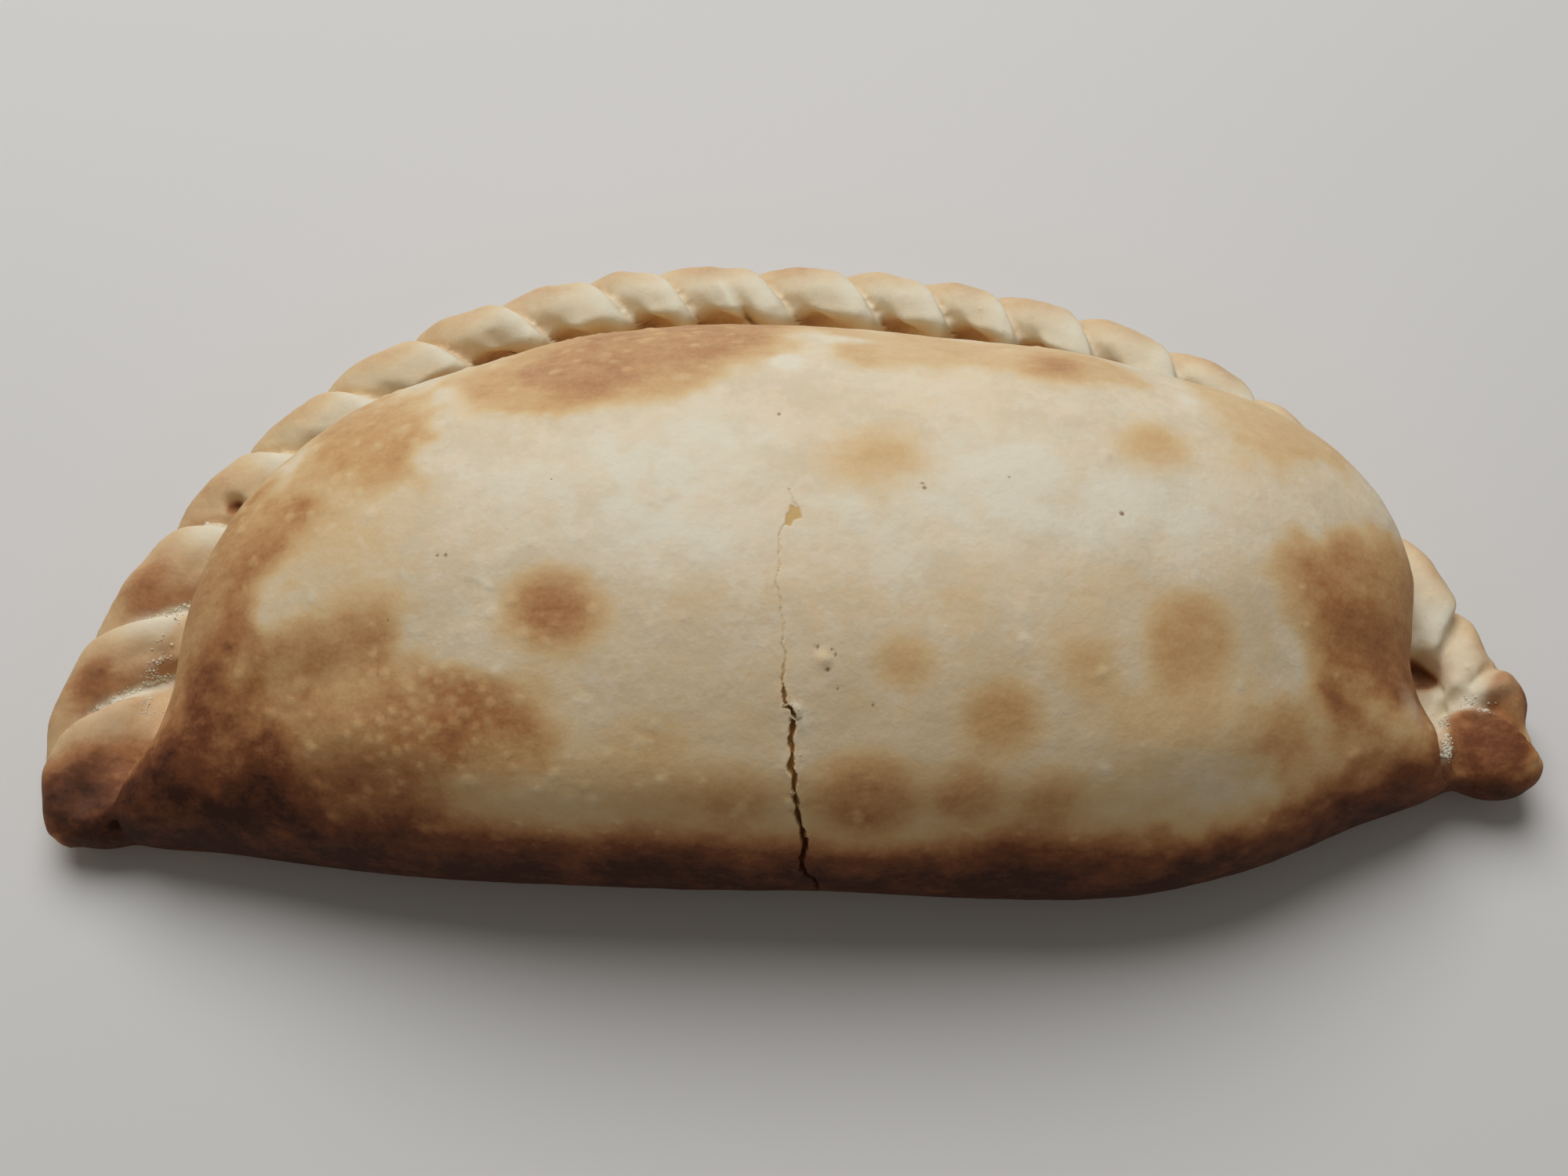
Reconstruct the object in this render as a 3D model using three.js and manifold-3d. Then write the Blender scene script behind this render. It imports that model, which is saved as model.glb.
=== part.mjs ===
// A baked calzone: a round of dough folded over its filling into a half-moon pocket. The curved edge is
// turned over on itself, one finger fold after another, into a rope that ends in a small knot.
// Millimetres, +Z up, the fold towards -Y and the rope towards +Y. The table is the plane z = 0.
import * as THREE from "three";
import { mergeVertices } from "three/addons/utils/BufferGeometryUtils.js";
import Module from "manifold-3d";

const wasm = await Module();
wasm.setup();

// Driving dimensions of the pocket.
const CROWN = new THREE.Vector3(0, -4, 41); // the highest point of the dome
const DOME_FULLNESS = 2.15; // 2 is an ellipse, more is squarer
const DOME_HALF_LENGTH = 78;
const DOME_BACK = { depth: 37, squareness: 2 }; // from the crown to the back, and that half in plan
const DOME_FRONT = { depth: 35.5, squareness: 2.6 };
const SKIRT_START = 0.55; // share of the way down from which the dome spreads out into its corners
const BASE_INSET = 7; // how far the foot of the pocket stands in from its widest line
// The widest line of the pocket, anticlockwise from the left corner: x, y and its height above the table.
const RIM = [
  [-84, -30.2, 6.5],
  [-70, -33, 9],
  [-50, -36.3, 11],
  [-20, -38.4, 12],
  [15, -39.4, 12],
  [44, -39.2, 12],
  [58, -35.5, 11],
  [70, -30.2, 9],
  [84.5, -23.6, 7],
  [80, -18, 8],
  [77.5, -11, 11],
  [79, -2, 13],
  [76, 9, 15],
  [66.3, 19.8, 16],
  [48, 26.4, 16],
  [26, 30.6, 16],
  [0, 32.8, 16],
  [-24, 32, 16],
  [-42, 25, 15],
  [-57, 18, 14],
  [-67, 6, 13],
  [-73.8, -7.5, 12],
  [-76.3, -19, 10],
];
// Low swellings of the filling under the dough: x, y, how far they spread, and how high they lift it.
const SWELLS = [
  [-38, 6, 26, 1.6],
  [34, -8, 28, 1.4],
  [58, 8, 18, 1.2],
  [4, 14, 20, -1.2],
];

// The crack down the front of the dome: x, y and width in plan, from its upper end to the fold.
const CRACK = [
  [-0.1, -22.6, 0.3],
  [0, -24.4, 0.7],
  [0.9, -26.3, 0.9],
  [1.1, -27.4, 1.2],
  [0.8, -28.6, 0.9],
  [1, -31, 0.8],
  [1.3, -33.6, 1],
  [2.1, -36.5, 1.1],
  [2.8, -38.4, 1.1],
  [3, -42, 0.9],
];
const CRACK_DEPTH = 2.2;
const CRACK_FOOT = 6.5; // height above the table at which the crack ends

// Driving dimensions of the rope: its middle line from the left corner, round the back, to the right end.
const ROPE_LINE = [
  [-83, -29.4, 5],
  [-84.9, -24.5, 5.4],
  [-84.3, -14.5, 5.8],
  [-80.2, -3.8, 6],
  [-75, 6.3, 6],
  [-63.3, 21.6, 6.2],
  [-46, 35.3, 6.4],
  [-23.5, 43.2, 6.6],
  [3, 44.2, 6.6],
  [27, 41.3, 6.4],
  [48, 34.5, 6],
  [62.5, 26.2, 5],
  [71, 15.5, 4.8],
  [79.5, 3.5, 5.4],
  [84.3, -7, 5.6],
  [87, -16, 5.4],
];
const ROPE_HALF_WIDTH = [8, 7.4, 6.6, 6.4, 6.2, 6, 5.6, 5.2, 5.6]; // evenly along the rope
const ROPE_TUCK = 2.2; // how much further the rope reaches inwards, under the dome, than outwards
const ROPE_HALF_HEIGHT = 6;
const ROPE_END = 6.5; // length over which each end of the rope rounds off
// Length of rope that each finger fold takes up, from the left corner to the knot.
const FOLD_PITCHES = [
  15.3, 12.6, 15.5, 13.2, 12.5, 12.7, 11.6, 11.9, 8.8, 13.6, 11.8, 10.2, 9.7, 11.1, 12.7, 12.4,
  12.6, 12.6, 12.8, 10.4,
];
// How far the folds lean ahead at each groove from the left corner; the last value holds for all the rest.
const FOLD_LEAD = [4, 10, 9, 6.5, 6];
const FOLD_SWEEP = 0.25; // how much of that lead bends the fold's line into an S over the top
const FOLD_ROUNDNESS = 2.2; // 2 is a round arch between two grooves, more is flatter on top
const GROOVE_DEPTH = { outside: 1.7, inside: 3 }; // between one fold and the next
const CREST_SHIFT = 0.28; // the crest of a fold starts behind its middle outside and ends ahead of it inside
// The blunt left corner and the two lumps of the knot at the right end: x, y, z of the middle, then the
// length, width and thickness, and the turn from +X in degrees.
const END_LUMPS = [
  [-84.2, -25.4, 5.4, 14, 13.5, 10.8, -105],
  [88.5, -14.6, 5.8, 12, 10, 10, 50],
  [86.4, -20, 6.2, 17, 11.5, 11.5, -22],
];
const LUMP_TAPER = 0.12; // a lump is this share fatter at its far end, and as much thinner at the near one
const SEAM_THICKNESS = 7; // of the flat seam between the pocket and the rope
const TABLE_SIDE = 400; // of the block that trims the underside flat

// How finely the curved faces are divided.
const POCKET_AROUND = 72;
const POCKET_ROWS = { dome: 15, flank: 6, base: 2 };
const ROPE_AROUND = 18;
const ROWS_PER_FOLD = 7;
const LUMP_AROUND = 18;
const LUMP_ROWS = 12;
const SEAM_STEPS = 60;
const MERGE_WITHIN = 1e-4;

const asPoints = (rows) => rows.map(([x, y, z]) => new THREE.Vector3(x, y, z));
const rimLine = new THREE.CatmullRomCurve3(asPoints(RIM), true, "centripetal");
const ropeLine = new THREE.CatmullRomCurve3(asPoints(ROPE_LINE), false, "centripetal");

// A closed geometry as a solid that can be joined and cut.
function solidOf(geometry) {
  const bare = new THREE.BufferGeometry();
  bare.setAttribute("position", geometry.getAttribute("position"));
  bare.setIndex(geometry.getIndex());
  const merged = mergeVertices(bare, MERGE_WITHIN);
  return new wasm.Manifold(
    new wasm.Mesh({
      numProp: 3,
      vertProperties: merged.getAttribute("position").array,
      triVerts: new Uint32Array(merged.getIndex().array),
    }),
  );
}

// A solid as a geometry again.
function geometryOf(solid) {
  const mesh = solid.getMesh();
  const geometry = new THREE.BufferGeometry();
  geometry.setAttribute("position", new THREE.BufferAttribute(mesh.vertProperties, 3));
  geometry.setIndex(new THREE.BufferAttribute(mesh.triVerts, 1));
  return geometry;
}

// A unit sphere whose points are each moved to place(around, down), both from 0 to 1.
function shapedSphere(around, rows, place) {
  const geometry = new THREE.SphereGeometry(1, around, rows);
  const position = geometry.getAttribute("position");
  const uv = geometry.getAttribute("uv");
  for (let i = 0; i < position.count; i++) {
    const point = place(uv.getX(i), 1 - uv.getY(i));
    position.setXYZ(i, point.x, point.y, point.z);
  }
  return geometry;
}

// The lift that the swellings give the dome at a place in plan.
function swellAt(x, y) {
  let lift = 0;
  for (const [sx, sy, spread, rise] of SWELLS) {
    lift += rise * Math.exp(-((x - sx) ** 2 + (y - sy) ** 2) / spread ** 2);
  }
  return lift;
}

// Distance from the crown to the edge of the plain dome, towards a direction in plan.
function domeSpan(direction) {
  const { depth, squareness } = direction.y > 0 ? DOME_BACK : DOME_FRONT;
  const long = Math.abs(direction.x / DOME_HALF_LENGTH) ** squareness;
  const short = Math.abs(direction.y / depth) ** squareness;
  return (long + short) ** (-1 / squareness);
}

// A point of the pocket's skin: down the dome, round the flank under the widest line, in across the base.
function pocketPoint(around, down) {
  const rows = POCKET_ROWS;
  const row = down * (rows.dome + rows.flank + rows.base);
  const rim = rimLine.getPointAt(THREE.MathUtils.euclideanModulo(around, 1));
  const direction = new THREE.Vector2(rim.x - CROWN.x, rim.y - CROWN.y);
  const span = direction.length();
  direction.normalize();
  const quarter = Math.PI / 2;
  let reach = 0;
  let z = 0;
  if (row <= rows.dome) {
    const angle = (row / rows.dome) * quarter;
    const skirt = THREE.MathUtils.smoothstep(row / rows.dome, SKIRT_START, 1);
    const share = Math.max(Math.cos(angle), 0) ** (2 / DOME_FULLNESS);
    reach = THREE.MathUtils.lerp(domeSpan(direction), span, skirt) * Math.sin(angle) ** (2 / DOME_FULLNESS);
    z = rim.z + (CROWN.z - rim.z) * share;
    z += share * swellAt(CROWN.x + direction.x * reach, CROWN.y + direction.y * reach);
  } else if (row <= rows.dome + rows.flank) {
    const angle = ((row - rows.dome) / rows.flank) * quarter;
    reach = span - BASE_INSET * (1 - Math.cos(angle));
    z = rim.z * (1 - Math.sin(angle));
  } else {
    reach = (span - BASE_INSET) * (1 - (row - rows.dome - rows.flank) / rows.base);
  }
  return new THREE.Vector3(CROWN.x + direction.x * reach, CROWN.y + direction.y * reach, z);
}

function pocketSkin() {
  const rows = POCKET_ROWS.dome + POCKET_ROWS.flank + POCKET_ROWS.base;
  return shapedSphere(POCKET_AROUND, rows, pocketPoint);
}

// The crack as a thin blade standing over its line, left off where the dome is deeper than the crack.
function crack() {
  const left = CRACK.map(([x, y, width]) => new THREE.Vector2(x - width / 2, y));
  const right = CRACK.map(([x, y, width]) => new THREE.Vector2(x + width / 2, y));
  const blade = new THREE.ExtrudeGeometry(new THREE.Shape([...left, ...right.reverse()]), {
    depth: CROWN.z,
    bevelEnabled: false,
  });
  blade.translate(0, 0, CRACK_FOOT);
  const inside = pocketSkin();
  inside.translate(-CROWN.x, -CROWN.y, 0);
  inside.scale(1, 1 - CRACK_DEPTH / DOME_FRONT.depth, 1 - CRACK_DEPTH / CROWN.z);
  inside.translate(CROWN.x, CROWN.y, 0);
  return solidOf(blade).subtract(solidOf(inside));
}

// Distance along the rope at which each fold starts, and the end of the last one.
function foldStarts() {
  const whole = FOLD_PITCHES.reduce((sum, pitch) => sum + pitch, 0);
  const stretch = ropeLine.getLength() / whole;
  const starts = [0];
  for (const pitch of FOLD_PITCHES) {
    starts.push(starts[starts.length - 1] + pitch * stretch);
  }
  return starts;
}

// A value read between the evenly spaced values of a list, at a share of its whole length.
function readAlong(values, share) {
  const at = THREE.MathUtils.clamp(share, 0, 1) * (values.length - 1);
  const low = Math.min(Math.floor(at), values.length - 2);
  return THREE.MathUtils.lerp(values[low], values[low + 1], at - low);
}

// Height of a fold across its own width: 0 in the grooves, 1 on the crest.
function foldArch(share, crest) {
  const even = share < crest ? share / (2 * crest) : 0.5 + (share - crest) / (2 * (1 - crest));
  return 1 - Math.abs(2 * even - 1) ** FOLD_ROUNDNESS;
}

// The rope: rings round its middle line, each leaning inwards and ahead as the folds do.
function rope() {
  const starts = foldStarts();
  const length = ropeLine.getLength();
  const folds = FOLD_PITCHES.length;
  return solidOf(
    shapedSphere(ROPE_AROUND, folds * ROWS_PER_FOLD, (around, down) => {
      const turn = -around * 2 * Math.PI - Math.PI / 2;
      const out = Math.cos(turn);
      const fold = Math.min(Math.floor(down * folds + 1e-6), folds - 1);
      const share = down * folds - fold;
      const ring = THREE.MathUtils.lerp(starts[fold], starts[fold + 1], share);
      const nearEnd = Math.min(Math.min(ring, length - ring) / ROPE_END, 1);
      const rounding = Math.sqrt(Math.max(1 - (1 - nearEnd) ** 2, 0));
      const lead = -out + FOLD_SWEEP * Math.sin(2 * turn);
      const ahead = readAlong(FOLD_LEAD, (fold + share) / (FOLD_LEAD.length - 1)) * lead * rounding;
      const at = THREE.MathUtils.clamp((ring + ahead) / length, 0, 1);
      const middle = ropeLine.getPointAt(at);
      const along = ropeLine.getTangentAt(at);
      const outward = new THREE.Vector2(-along.y, along.x).normalize();
      const inside = THREE.MathUtils.smoothstep(lead, -1, 1);
      const groove = THREE.MathUtils.lerp(GROOVE_DEPTH.outside, GROOVE_DEPTH.inside, inside);
      const sink = groove * (1 - foldArch(share, 0.5 + CREST_SHIFT * lead));
      const tuck = ROPE_TUCK * THREE.MathUtils.smoothstep(-out, 0, 1);
      const width = (readAlong(ROPE_HALF_WIDTH, at) + tuck - sink) * rounding * out;
      const height = (ROPE_HALF_HEIGHT - sink) * rounding * Math.sin(turn);
      return new THREE.Vector3(middle.x + outward.x * width, middle.y + outward.y * width, middle.z + height);
    }),
  );
}

// A lump of dough lying along X: an ellipsoid whose +X end is fatter than its -X end.
function lump(length, width, thickness) {
  return shapedSphere(LUMP_AROUND, LUMP_ROWS, (around, down) => {
    const along = -Math.cos(down * Math.PI);
    const round = Math.sin(down * Math.PI) * (1 + LUMP_TAPER * along);
    const turn = around * 2 * Math.PI;
    return new THREE.Vector3(
      (along * length) / 2,
      (-Math.cos(turn) * round * width) / 2,
      (Math.sin(turn) * round * thickness) / 2,
    );
  });
}

function endLumps() {
  return END_LUMPS.map(([x, y, z, length, width, thickness, turn]) => {
    const geometry = lump(length, width, thickness);
    geometry.rotateZ(THREE.MathUtils.degToRad(turn));
    geometry.translate(x, y, z);
    return solidOf(geometry);
  });
}

// The flat seam where both layers of dough are pressed together, out to the rope's middle line.
function seam() {
  const outline = new THREE.Shape(
    ropeLine.getSpacedPoints(SEAM_STEPS).map((p) => new THREE.Vector2(p.x, p.y)),
  );
  return solidOf(new THREE.ExtrudeGeometry(outline, { depth: SEAM_THICKNESS, bevelEnabled: false }));
}

// Everything below the table, which trims the underside flat.
function tableBlock() {
  const block = new THREE.BoxGeometry(TABLE_SIDE, TABLE_SIDE, TABLE_SIDE);
  block.translate(0, 0, -TABLE_SIDE / 2);
  return solidOf(block);
}

function calzoneGeometry() {
  const pieces = [solidOf(pocketSkin()), seam(), rope(), ...endLumps()];
  const joined = pieces.reduce((whole, piece) => whole.add(piece));
  const geometry = geometryOf(joined.subtract(tableBlock()).subtract(crack()));
  geometry.computeBoundingBox();
  const middle = geometry.boundingBox.getCenter(new THREE.Vector3());
  geometry.translate(-middle.x, -middle.y, 0);
  return geometry;
}

const crust = new THREE.MeshStandardMaterial({ color: 0xd9bb8c, roughness: 0.75, metalness: 0 });
const calzone = new THREE.Mesh(calzoneGeometry(), crust);
calzone.name = "calzone";

const group = new THREE.Group();
group.add(calzone);

export default group;
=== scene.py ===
"""The looks of a baked calzone, laid out as a Blender add-on and built over its packed solid.

The solid gives the form. The crust takes its skin, presses the small relief into it (finger folds, crack,
blisters and pits) and paints where the oven browned it, with painted shade in the rope's creases, on the
lower front and at the ends, and painted highlights on the crown and the crack's lip. Flour and crumbs lie on
the crust as loose grains.
Lists of places are in millimetres, in the frame's own axes: +X along the fold, +Y to the rope, +Z up.
"""
import functools
import itertools
import math

import bmesh
import bpy
import numpy as np
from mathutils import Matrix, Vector


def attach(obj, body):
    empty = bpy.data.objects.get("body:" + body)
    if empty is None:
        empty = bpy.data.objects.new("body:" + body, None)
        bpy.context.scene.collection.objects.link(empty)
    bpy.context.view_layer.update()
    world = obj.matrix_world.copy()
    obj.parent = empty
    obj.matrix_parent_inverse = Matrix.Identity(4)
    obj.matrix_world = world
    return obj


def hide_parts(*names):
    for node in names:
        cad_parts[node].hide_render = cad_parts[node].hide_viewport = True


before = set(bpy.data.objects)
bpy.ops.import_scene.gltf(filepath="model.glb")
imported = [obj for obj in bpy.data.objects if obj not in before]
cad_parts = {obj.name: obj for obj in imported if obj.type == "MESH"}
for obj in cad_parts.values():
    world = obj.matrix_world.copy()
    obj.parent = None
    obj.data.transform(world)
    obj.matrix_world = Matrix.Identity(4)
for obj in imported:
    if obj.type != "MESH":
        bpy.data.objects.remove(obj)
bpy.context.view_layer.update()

MM = 0.001
# What is painted on the crust, as attributes that its material reads; the browning also carries painted
# shade, and the flour also carries painted highlights.
PAINTED = ("toast", "flour", "crumb", "deep", "speck")

bl_info = {
    "name": "Baked calzone",
    "version": (1, 0, 0),
    "blender": (4, 5, 0),
    "location": "3D View > Sidebar > Calzone",
    "description": "A half-moon calzone with a rope edge, a cracked and toasted crust, flour and crumbs",
    "category": "Add Mesh",
}

# The rope edge: its middle line from the left corner, round the back, to the knot (x, y, z).
ROPE_LINE = (
    (-83.9, -34.8, 5.0),
    (-85.9, -29.9, 5.4),
    (-85.3, -19.9, 5.8),
    (-81.2, -9.2, 6.0),
    (-76.0, 0.9, 6.0),
    (-64.3, 16.2, 6.2),
    (-47.0, 29.9, 6.4),
    (-24.5, 37.8, 6.6),
    (2.0, 38.8, 6.6),
    (26.0, 35.9, 6.4),
    (47.0, 29.1, 6.0),
    (61.5, 20.8, 5.0),
    (70.0, 10.1, 4.8),
    (78.5, -1.9, 5.4),
    (83.3, -12.4, 5.6),
    (86.0, -21.4, 5.4),
)
# Its half width in even steps along it, its half height, how much it widens inwards, and its tapered ends.
ROPE_HALF_WIDTH = (8, 7.4, 6.6, 6.4, 6.2, 6, 5.6, 5.2, 5.6)
ROPE_HALF_HEIGHT = 6.0
ROPE_TUCK = 2.2
ROPE_END = 6.5
# Length of rope that each finger fold takes up.
FOLD_PITCHES = (
    15.3, 12.6, 15.5, 13.2, 12.5, 12.7, 11.6, 11.9, 8.8, 13.6,
    11.8, 10.2, 9.7, 11.1, 12.7, 12.4, 12.6, 12.6, 12.8, 10.4,
)
# How far the folds lean ahead at each groove from the left corner; the last value holds for all the rest.
FOLD_LEAD = (4, 10, 9, 6.5, 6)
# How much their lines curve.
FOLD_SWEEP = 0.25
# How brown the hollow face of each of the first folds is, browning and painted shade together.
BROWN_AND_SHADED_FOLDS = (0.66, 0.40, 0.35, 0.13)
# The fold that ends in two lips.
TWO_TAILED_FOLD = 9
# How far inwards the folds reach before the crease, as a share of the rope's half width.
FOLD_REACH = 0.38
# How open the crease is at the ends, how many folds from the left it opens, and how far from the knot.
CREASE_SHUT = 0.15
CREASE_OPENS = (1.8, 4.0)
CREASE_CLOSES = (18, 32)
# Where a lip lies across its fold, and how far it falls off before and after that, in shares of the fold.
LIP = (0.84, 0.15, 0.08)
SECOND_LIP = (0.42, 0.08, 0.05)
# Where a pocket lies across its fold, and its half width.
POCKET = (0.10, 0.14)
SECOND_POCKET = (0.55, 0.06)
# Heights of the folds' relief: the rise to the lip, the bulge outside and the lip itself; then the depths of
# the pocket and of the hollow face.
FOLD_RISE = 0.6
FOLD_BULGE = 0.6
LIP_HEIGHT = 0.6
POCKET_DEPTH = 1.2
SCOOP_DEPTH = 0.4

# The crack from the crown down the front to the fold: x, y, z and width.
CRACK = (
    (-0.4, -6.2, 40.8, 0.12),
    (0.0, -7.5, 40.9, 0.16),
    (0.5, -8.4, 40.9, 0.16),
    (0.4, -9.6, 41.0, 0.16),
    (-0.7, -10.8, 41.0, 0.18),
    (-1.4, -12.5, 41.0, 0.18),
    (-1.4, -14.6, 40.9, 0.16),
    (-1.5, -16.8, 40.7, 0.20),
    (-1.8, -18.4, 40.5, 0.16),
    (-1.3, -20.0, 40.2, 0.24),
    (-1.2, -21.5, 39.9, 0.18),
    (-1.0, -23.1, 39.4, 0.16),
    (-1.1, -24.4, 39.0, 0.16),
    (-0.8, -26.7, 38.2, 0.26),
    (-1.1, -28.3, 37.4, 0.36),
    (-1.0, -29.8, 36.7, 0.60),
    (-0.6, -31.0, 36.0, 0.70),
    (0.0, -31.7, 35.6, 0.95),
    (0.2, -32.8, 34.9, 1.30),
    (-0.2, -34.0, 34.0, 1.05),
    (0.0, -35.4, 32.9, 0.90),
    (-0.1, -36.4, 32.0, 1.15),
    (0.2, -37.4, 31.0, 0.95),
    (0.4, -39.0, 29.2, 0.90),
    (0.7, -40.5, 27.0, 1.00),
    (1.2, -41.9, 24.4, 1.15),
    (1.5, -43.0, 21.4, 1.40),
    (1.1, -43.5, 19.5, 1.20),
    (1.5, -44.1, 16.0, 1.15),
    (2.5, -44.2, 14.2, 0.80),
    (2.9, -44.3, 11.7, 1.05),
    (2.9, -43.6, 6.9, 0.60),
)
# The flake that is missing where the crack starts: its outline in plan.
HOLE = (
    (-0.2, -8.4), (0.8, -8.7), (1.1, -10.1), (0.2, -10.4), (-0.2, -11.2), (-0.8, -11.0), (-0.7, -9.6),
    (-0.3, -9.2),
)
FLAKE_DEPTH = 0.16
# How far the dough stands up along the crack, and the reaches within which its points get finer and finer.
CRACK_LIP_HEIGHT = 0.14
CRACK_REACHES = (2.6, 1.5, 0.9)
# Half width of the crack's relief, as a share of the width that is listed above, and its least value.
CRACK_HALF_SHARE = 0.29
CRACK_HALF_LEAST = 0.14
# The heights at which flour with a painted highlight and chips lie on the crack's right lip, and how far they
# spread.
LIP_FLOUR_AND_HIGHLIGHT = (35, 1.6)
CHIPPED_LIP = (35.2, 1.6)
# Unevenness of what is pressed and painted: height, length and seed of waves that are added up.
SWELL_WAVES = ((0.35, 24, 1), (0.12, 9, 2))
SKIN_WAVES = ((0.05, 3, 3), (0.02, 1.6, 4))
FOLD_WAVES = ((0.25, 5, 6), (0.08, 2, 5))
CRACK_WAVES = ((0.4, 1.1, 11), (0.3, 0.5, 12))
SPOT_WAVES = ((0.18, 7, 21), (0.06, 2.4, 22))
PATCH_WAVES = ((0.8, 8, 24), (0.35, 3, 25))
FLOUR_WAVES = ((0.7, 5, 31), (0.5, 1.8, 32))
BLISTER_WAVES = ((0.5, 1.3, 33), (0.2, 0.6, 34))

# Rounds of smoothing that close the solid's coarse crack and that even out its facets.
CLOSING_ROUNDS = 160
EVENING_ROUNDS = 30
# Points below this height lie on the flat base.
BASE_HEIGHT = 0.3

# How far the palest crust is toasted, how much the oven adds at most, and the rope and the base.
PALE_TOAST = 0.12
ADDED_TOAST = 0.90
ROPE_TOAST = 0.21
BASE_TOAST = 0.62
# Spots that browned on the dome: x, y, half length, half width, turn in degrees, strength, softness.
TOAST_SPOTS = (
    (31.8, 13.9, 3.6, 3.0, 0, 0.24, 0.7),
    (1.8, -9.6, 2.6, 2.0, 0, 0.13, 0.8),
    (-27, -20.8, 4.6, 3.8, 0, 0.39, 0.6),
    (-27, -20.4, 7.0, 5.4, 0, 0.16, 0.5),
    (-38.4, -27.8, 3.8, 2.0, -8, 0.30, 0.6),
    (-49, -29, 14, 6.5, -12, 0.22, 0.6),
    (-33, -33.4, 6.5, 4.0, -10, 0.28, 0.6),
    (-51, -37.5, 13, 4.5, -6, 0.28, 0.7),
    (-18, -36.5, 7, 4, 0, 0.14, 0.8),
    (10.5, -2.5, 6.5, 5, 0, 0.24, 0.7),
    (13, -26.8, 3.0, 2.8, 0, 0.24, 0.7),
    (23, -32.1, 4.2, 4.2, 0, 0.30, 0.6),
    (33, -25.8, 3.4, 3.0, 0, 0.16, 0.8),
    (45.4, -22.6, 5.4, 5.6, 0, 0.28, 0.45),
    (42.2, 1, 4.2, 4.0, 0, 0.28, 0.7),
    (8, -39, 6.2, 5.0, 0, 0.40, 0.5),
    (19.4, -39.1, 4.2, 3.8, 0, 0.32, 0.6),
    (29.2, -38.9, 4.6, 2.8, 0, 0.22, 0.8),
    (-7, -38.9, 6.4, 3.4, 0, 0.26, 0.7),
    (-15, -33.6, 4.6, 2.8, 0, 0.12, 0.9),
    (-68, -31, 6.5, 5.0, 0, 0.36, 0.6),
)
# Patches that browned on it, those at the low front corners partly painted shade: strength, softness of the
# edge, and the outline in plan.
TOAST_AND_SHADE_PATCHES = (
    (0.36, 3.0, (
        (-41, 14), (-36, 21), (-25, 26), (-6, 27), (3, 24), (1, 16.6), (-4.8, 13.0), (-10.3, 8.2), (-16, 6.0),
        (-26.7, 4.2), (-33.2, 4.4), (-39, 7.4),
    )),
    (0.22, 3.6, ((-31, 12), (-27, 24), (-3, 25), (-3, 18), (-9, 13.4), (-16, 10.4), (-25, 8.6))),
    (0.26, 2.2, ((3, 25), (41, 20), (43, 13), (37, 9.4), (30, 10.6), (22, 12.2), (12, 13.0), (5, 14.6))),
    (0.38, 3.2, ((-62, 8), (-55, 15), (-45, 10.6), (-41, 2.6), (-44, -2.8), (-50, -3.8), (-56, -2.6))),
    (0.14, 5.0, ((-62, -4), (-50, 0), (-43, -4), (-42, -16), (-48, -24), (-64, -24))),
    (0.44, 5.5, (
        (-58, 2), (-72, 0), (-84, -20), (-84, -34), (-70, -34), (-63, -26), (-61.0, -15.6), (-57, -8),
    )),
    (0.16, 3.0, ((-57, -18.5), (-50, -17.0), (-45.5, -19.5), (-46.5, -26.5), (-56, -27))),
    (0.33, 4.5, (
        (-70, -20), (-56, -21.5), (-44, -25), (-32, -28), (-28, -33), (-36, -35.5), (-46, -39), (-62, -43),
        (-80, -38),
    )),
    (0.28, 4.5, ((-62, -35), (-50, -35), (-45, -38), (-46, -46), (-62, -47))),
    (0.10, 8.0, ((-46, -17), (0, -19), (34, -12), (60, -14), (62, -34), (0, -44), (-46, -42))),
    # Browning and painted shade at the low left corner.
    (0.52, 7.0, (
        (-77, -25), (-68, -26), (-64, -31), (-60, -38), (-60, -45), (-66, -47), (-86, -46), (-82, -35),
    )),
    (0.80, 6.0, ((-80, -31), (-68, -35), (-58, -39.5), (-52, -46), (-70, -50), (-92, -50), (-92, -38))),
    (0.24, 3.0, ((49, 17), (69, 13), (69, 3.0), (58.7, -0.4), (51.5, 2.6))),
    (0.44, 3.2, ((60, -8), (67, -4.6), (82, -5), (84, -18), (76, -26), (65, -27.4), (59, -21), (57, -13))),
    (0.26, 3.6, ((63, -14), (74, -13), (77, -20), (72, -25.5), (63, -24.5))),
    (0.18, 4.0, ((35, -28), (57, -27.6), (64, -31), (52, -37), (37, -37))),
    (0.30, 4.0, ((62, -27), (72, -21), (82, -22), (80, -31), (66, -35), (58, -36), (55, -33))),
    # Browning and painted shade low at the right front.
    (0.56, 3.2, (
        (44, -41.4), (54, -39.0), (63, -34.8), (71, -30.6), (78, -27.6), (88, -28), (84, -46), (44, -49),
    )),
)
# The upper edge of the darkened front, browned and painted with shade, where the dough lay folded: x and
# height.
FRONT_EDGE = (
    (-75, 15), (-66, 17), (-51, 21.4), (-37, 23.4), (-19, 24), (-7, 24.6), (6, 21.6), (20, 23.4), (31, 25.2),
    (40, 21.6), (48, 18.6), (56, 18.8), (64, 18.6), (74, 16), (82, 12),
)
# How it darkens below that edge, browning and painted shade together, the faint band above the edge mostly
# painted shade: strength, and the heights from the edge between which it sets in.
FRONT_BROWN_AND_SHADE_BANDS = ((0.26, 9, 0), (0.60, 3.5, -4), (0.88, -0.5, -10))
# Height of the soft shoulder above the browned front, and how far it spreads up and down.
SHOULDER_HEIGHT = 29.5
SHOULDER_SPREAD = 4.5
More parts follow.
